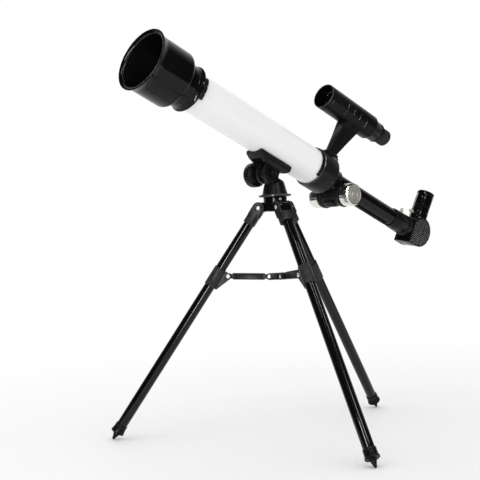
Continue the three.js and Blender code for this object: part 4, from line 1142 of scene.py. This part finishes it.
class TELESCOPE_OT_legs(TelescopeOperator, bpy.types.Operator):
    """Three legs, each with its head, lacquered tube, bracket, foot and rivets"""
    bl_idname = "telescope.legs"
    bl_label = "Legs"

    def execute(self, context):
        size = sizes(context.scene.telescope_stand)
        radius, foot_tip, ease = size["leg_radius"], size["leg_length"], size["ease"]
        tube = turned("leg_tube_pipe", [
            (14.3, radius - 1), (14.3, radius), (90, radius), (160, radius), (230, radius),
            (300, radius), (350.5, radius), (350.5, radius - 1)], segments=96, ease=0.12)
        second_finish(tube, inwards)

        lip, lip_end, cap = 9.2, 355.5, 8.1
        foot = turned("foot_shell", [
            (343, 7.35), (343, cap - 0.3), (343.3, cap), (346, cap + 0.08), (346.4, cap - 0.25),
            (347.2, cap - 0.25), (347.6, cap + 0.12), (lip_end - 4, cap + 0.3),
            (lip_end - 2.2, lip - 0.15), (lip_end - 1.9, lip), (lip_end - 0.4, lip),
            (lip_end, lip - 0.4), (lip_end, 4.6), (lip_end + 0.5, 4.2),
            *arc(foot_tip - 1.9, 0, 1.9, 84, 0, 6), (350.8, 0), (350.8, 7.35)],
            segments=72)
        ribs = []
        for i in range(2):
            rib = block("rib", (lip_end - 0.5, -5.8, -0.7), (foot_tip - 2.5, 5.8, 0.7), 0)
            alone(rib)
            bpy.ops.object.mode_set(mode="EDIT")
            pick(rib, lambda co: co.x > lip_end + 1)
            bpy.ops.transform.resize(value=(1, 1.6 / 5.8, 1), center_override=(0, 0, 0))
            bpy.ops.object.mode_set(mode="OBJECT")
            eased(rib, 0.2)
            ribs.append(placed(rib, turn(90 * i, "X")))
        foot = joined(foot, *ribs)

        arm_rivet = rivet("arm_rivet_domed", 1.6, 2.9, 1.1, 3.7)
        pin = rivet("hinge_rivet_domed", 2, 2.7, 1.2, 9.7)
        sideways = turn(90, "Z")

        def arm_place(leg):
            return leg_place(leg) @ shift(ARM_ALONG, 0, -ARM_INWARD) @ sideways

        shared = {
            "leg_pipe": (tube, leg_place, "black_alloy", ["leg_black", "inside_black"], "leg_tube"),
            "foot_spike": (foot, leg_place, "satin_black", ["satin_black"], "foot_cap"),
            "web_rivet": (arm_rivet, arm_place, "steel", ["steel"], "arm_rivet"),
            "hinge_rivet": (pin, lambda leg: hinge_place(leg) @ sideways, "steel", ["steel"],
                            "leg_rivet"),
        }
        for leg in LEGS:
            body = f"leg_{leg}"
            for name, (shape, place, slot, finishes, node) in shared.items():
                settle(again(shape, f"{name}_{leg}"), place(leg), body, finishes,
                       [f"{node}_{leg}"])
            local = millimetres(leg_place(leg)).inverted()
            mouth, mouth_radius = 24.5, 7.5

            def in_mouth(corner):
                place = local @ corner
                return (abs(place.x - mouth) < 0.1
                        and math.hypot(place.y, place.z) < mouth_radius)

            cast(f"leg_head_{leg}", f"leg_socket_{leg}", body, "joint_black", ease,
                 spared=in_mouth)
            cast(f"leg_bracket_{leg}", f"leg_clamp_{leg}", body, "joint_black", 0.3)
        for shape, *_ in shared.values():
            bpy.data.objects.remove(shape)
        return {"FINISHED"}


class TELESCOPE_OT_spreader(TelescopeOperator, bpy.types.Operator):
    """Folding spreader: three channelled arms and the slotted hub between them"""
    bl_idname = "telescope.spreader"
    bl_label = "Spreader"

    def execute(self, context):
        hub = casting("spreader_hub", "spreader_centre", 0.25)
        for leg in LEGS:
            local = millimetres(STAND_PLACE @ turn(azimuth(leg), "Z")).inverted()
            second_finish(hub, lambda middle, normal: self.on_rivet(local @ middle))
        settle(hub, None, "spreader_hub", ["joint_black", "steel"],
               ["spreader_hub"])
        for leg in LEGS:
            arm = f"spreader_arm_{leg}"
            cast(arm, f"channelled_arm_{leg}", arm, "joint_black", 0.22)
        return {"FINISHED"}

    def on_rivet(self, place):
        """The heads of the hub's rivets, outside the cheeks of its lobes."""
        return abs(place.x - HUB_RADIUS) < 3 and abs(place.y) > HUB_CHEEK + 0.1


# ---- Stage ---------------------------------------------------------------------------------------
class TELESCOPE_OT_stage(TelescopeOperator, bpy.types.Operator):
    """Pale floor that fades into the backdrop, soft lights and the camera"""
    bl_idname = "telescope.stage"
    bl_label = "Stage"

    def execute(self, context):
        settings = context.scene.telescope_stage
        self.make_floor(settings)
        self.make_world(context.scene)
        self.make_lights()
        self.make_camera(context.scene, settings)
        context.scene.view_settings.view_transform = "Standard"
        return {"FINISHED"}

    def make_floor(self, settings):
        """A round table top whose rim fades into a white surround that isn't reflected."""
        alone()
        bpy.ops.mesh.primitive_circle_add(vertices=128, radius=FLOOR_RADIUS, fill_type="NGON",
                                          location=(0, 0, 0))
        floor = bpy.context.object
        floor.name = "floor"
        recipe = Recipe("floor_paint", tuple(settings.floor), 0.6, specular=0.1)
        gradient = recipe.add("ShaderNodeTexGradient", gradient_type="SPHERICAL")
        mapping = recipe.add("ShaderNodeMapping")
        mapping.inputs["Scale"].default_value = (1 / FLOOR_RADIUS,) * 3
        recipe.link(recipe.place, mapping.inputs["Vector"])
        recipe.link(mapping.outputs["Vector"], gradient.inputs["Vector"])
        fade = recipe.spread(gradient.outputs["Fac"], 1, 0, 0.04, 0.72)
        recipe.tinted(3, 0.01)
        self.glowing(recipe, fade)
        floor.data.materials.append(recipe.material)
        bpy.ops.mesh.primitive_circle_add(vertices=128, radius=FLOOR_RADIUS, fill_type="NOTHING",
                                          location=(0, 0, 0))
        surround = bpy.context.object
        surround.name = "floor_surround"
        bpy.ops.object.mode_set(mode="EDIT")
        bpy.ops.mesh.select_all(action="SELECT")
        bpy.ops.mesh.extrude_edges_move()
        bpy.ops.transform.resize(value=(SURROUND, SURROUND, 1), center_override=(0, 0, 0))
        bpy.ops.object.mode_set(mode="OBJECT")
        plain = Recipe("surround_white", (1, 1, 1), 1.0)
        self.glowing(plain, None)
        surround.data.materials.append(plain.material)
        surround.visible_glossy = False
        surround.visible_diffuse = False
        surround.visible_transmission = False

    def glowing(self, recipe, fade):
        """Mixes in an even white glow, all over or by a factor."""
        glow = recipe.add("ShaderNodeEmission", Strength=1.0)
        mix = recipe.add("ShaderNodeMixShader")
        if fade:
            recipe.link(fade, mix.inputs[0])
        else:
            mix.inputs[0].default_value = 1
        recipe.link(recipe.surface.outputs[0], mix.inputs[1])
        recipe.link(glow.outputs[0], mix.inputs[2])
        recipe.link(mix.outputs[0], recipe.tree.nodes["Material Output"].inputs["Surface"])

    def make_world(self, scene):
        """White behind everything, pale fill light, and a darker room in reflections."""
        world = bpy.data.worlds.new("studio")
        scene.world = world
        world.use_nodes = True
        world.cycles.sampling_method = "NONE"  # so that reflections see only the room
        tree = world.node_tree
        background = tree.nodes["Background"]
        background.inputs["Color"].default_value = (1, 1, 1, 1)
        path = tree.nodes.new("ShaderNodeLightPath")
        way = tree.nodes.new("ShaderNodeTexCoord").outputs["Generated"]
        facing = tree.nodes.new("ShaderNodeVectorMath")
        facing.operation = "DOT_PRODUCT"
        facing.inputs[1].default_value = (0.676, 0.737, 0)
        tree.links.new(way, facing.inputs[0])
        backdrop = tree.nodes.new("ShaderNodeMapRange")
        for socket, value in zip(("From Min", "From Max", "To Min", "To Max"),
                                 (0.3, 0.8, 0.02, 0.9)):
            backdrop.inputs[socket].default_value = value
        tree.links.new(facing.outputs["Value"], backdrop.inputs["Value"])
        fill, room = (tree.nodes.new("ShaderNodeMix") for _ in range(2))
        for mix, factor in ((fill, "Is Diffuse Ray"), (room, "Is Camera Ray")):
            mix.data_type = "FLOAT"
            tree.links.new(path.outputs[factor], mix.inputs[0])
        fill.inputs[3].default_value = 1.0
        tree.links.new(backdrop.outputs["Result"], fill.inputs[2])
        tree.links.new(fill.outputs[0], room.inputs[2])
        room.inputs[3].default_value = 1.0
        tree.links.new(room.outputs[0], background.inputs["Strength"])

    def make_lights(self):
        """Soft strips and a rim light, all facing the head of the stand and hidden from view."""
        aim = Vector((0, 0, 0.3))
        # name, place in metres, way the light runs, its two sizes, power in watts
        for name, place, way, size, power in (
                ("strip_left", (-1.34, -0.72, 0.5), (0, 0, 1), (0.16, 1.5), 26),
                ("strip_front", (-0.31, -1.15, 1.19), (0, 0, 1), (0.35, 0.6), 6),
                ("strip_above", (-0.68, -0.32, 1.55), (0.33, 0.66, 0.68), (0.12, 0.45), 3),
                ("strip_right", (0.20, -0.75, 1.55), (0.19, 0.72, 0.67), (0.12, 0.45), 3),
                ("rim_back", (0.5, 1.5, 1.1), (0, 0, 1), (1.0, 0.5), 6)):
            data = bpy.data.lights.new(name, "AREA")
            data.shape = "RECTANGLE"
            data.size, data.size_y = size
            data.energy = power
            light = bpy.data.objects.new(name, data)
            bpy.context.scene.collection.objects.link(light)
            facing = (Vector(place) - aim).normalized()
            across = Vector(way).cross(facing).normalized()
            turned_by = Matrix((across, facing.cross(across), facing)).transposed().to_4x4()
            light.matrix_world = Matrix.Translation(place) @ turned_by
            light.visible_diffuse = False
            light.visible_camera = False

    def make_camera(self, scene, settings):
        """Looks at a point left of the stand's middle, from its bearing and with its roll."""
        a, e, roll = settings.azimuth, settings.elevation, settings.roll
        back = Vector((math.sin(a) * math.cos(e), -math.cos(a) * math.cos(e), math.sin(e)))
        right = Vector((math.cos(a), math.sin(a), 0))
        up = back.cross(right)
        target_height, target_left = 258.6, 48.6
        target = STAND + (Vector((0, 0, target_height)) - right * target_left) * MM
        across = right * math.cos(roll) + up * math.sin(roll)
        above = up * math.cos(roll) - right * math.sin(roll)
        camera = bpy.data.objects.new("camera", bpy.data.cameras.new("camera"))
        scene.collection.objects.link(camera)
        camera.data.lens = settings.lens
        camera.data.sensor_width = 36
        camera.data.clip_end = 50
        turned_by = Matrix((across, above, back)).transposed().to_4x4()
        camera.matrix_world = Matrix.Translation(target + back * settings.distance) @ turned_by
        scene.camera = camera


# ---- Add-on --------------------------------------------------------------------------------------
SETTINGS = {
    "telescope_colours": TelescopeColours, "telescope_tube": TelescopeTube,
    "telescope_focuser": TelescopeFocuser, "telescope_stand": TelescopeStand,
    "telescope_stage": TelescopeStage,
}
OPERATORS = (
    TELESCOPE_OT_finishes, TELESCOPE_OT_main_tube, TELESCOPE_OT_hood, TELESCOPE_OT_lens_cell,
    TELESCOPE_OT_saddle, TELESCOPE_OT_rear_housing, TELESCOPE_OT_finder, TELESCOPE_OT_focus_knobs,
    TELESCOPE_OT_draw_tube, TELESCOPE_OT_thumbscrews, TELESCOPE_OT_diagonal,
    TELESCOPE_OT_eyepiece, TELESCOPE_OT_mount, TELESCOPE_OT_legs, TELESCOPE_OT_spreader,
    TELESCOPE_OT_stage,
)


class TELESCOPE_PT_sidebar(bpy.types.Panel):
    """Settings and pieces of the telescope"""
    bl_idname = "TELESCOPE_PT_sidebar"
    bl_label = "Table Telescope"
    bl_space_type = "VIEW_3D"
    bl_region_type = "UI"
    bl_category = "Telescope"

    def draw(self, context):
        layout = self.layout
        for key, group in SETTINGS.items():
            settings = getattr(context.scene, key)
            box = layout.box()
            for prop in group.__annotations__:
                box.prop(settings, prop)
        for operator in OPERATORS:
            layout.operator(operator.bl_idname)


def register():
    for cls in (*SETTINGS.values(), *OPERATORS, TELESCOPE_PT_sidebar):
        bpy.utils.register_class(cls)
    for key, group in SETTINGS.items():
        setattr(bpy.types.Scene, key, PointerProperty(type=group))


def unregister():
    for key in SETTINGS:
        delattr(bpy.types.Scene, key)
    for cls in reversed((*SETTINGS.values(), *OPERATORS, TELESCOPE_PT_sidebar)):
        bpy.utils.unregister_class(cls)


def main():
    register()
    for operator in OPERATORS:
        family, action = operator.bl_idname.split(".")
        getattr(getattr(bpy.ops, family), action)()


if __name__ == "__main__":
    main()
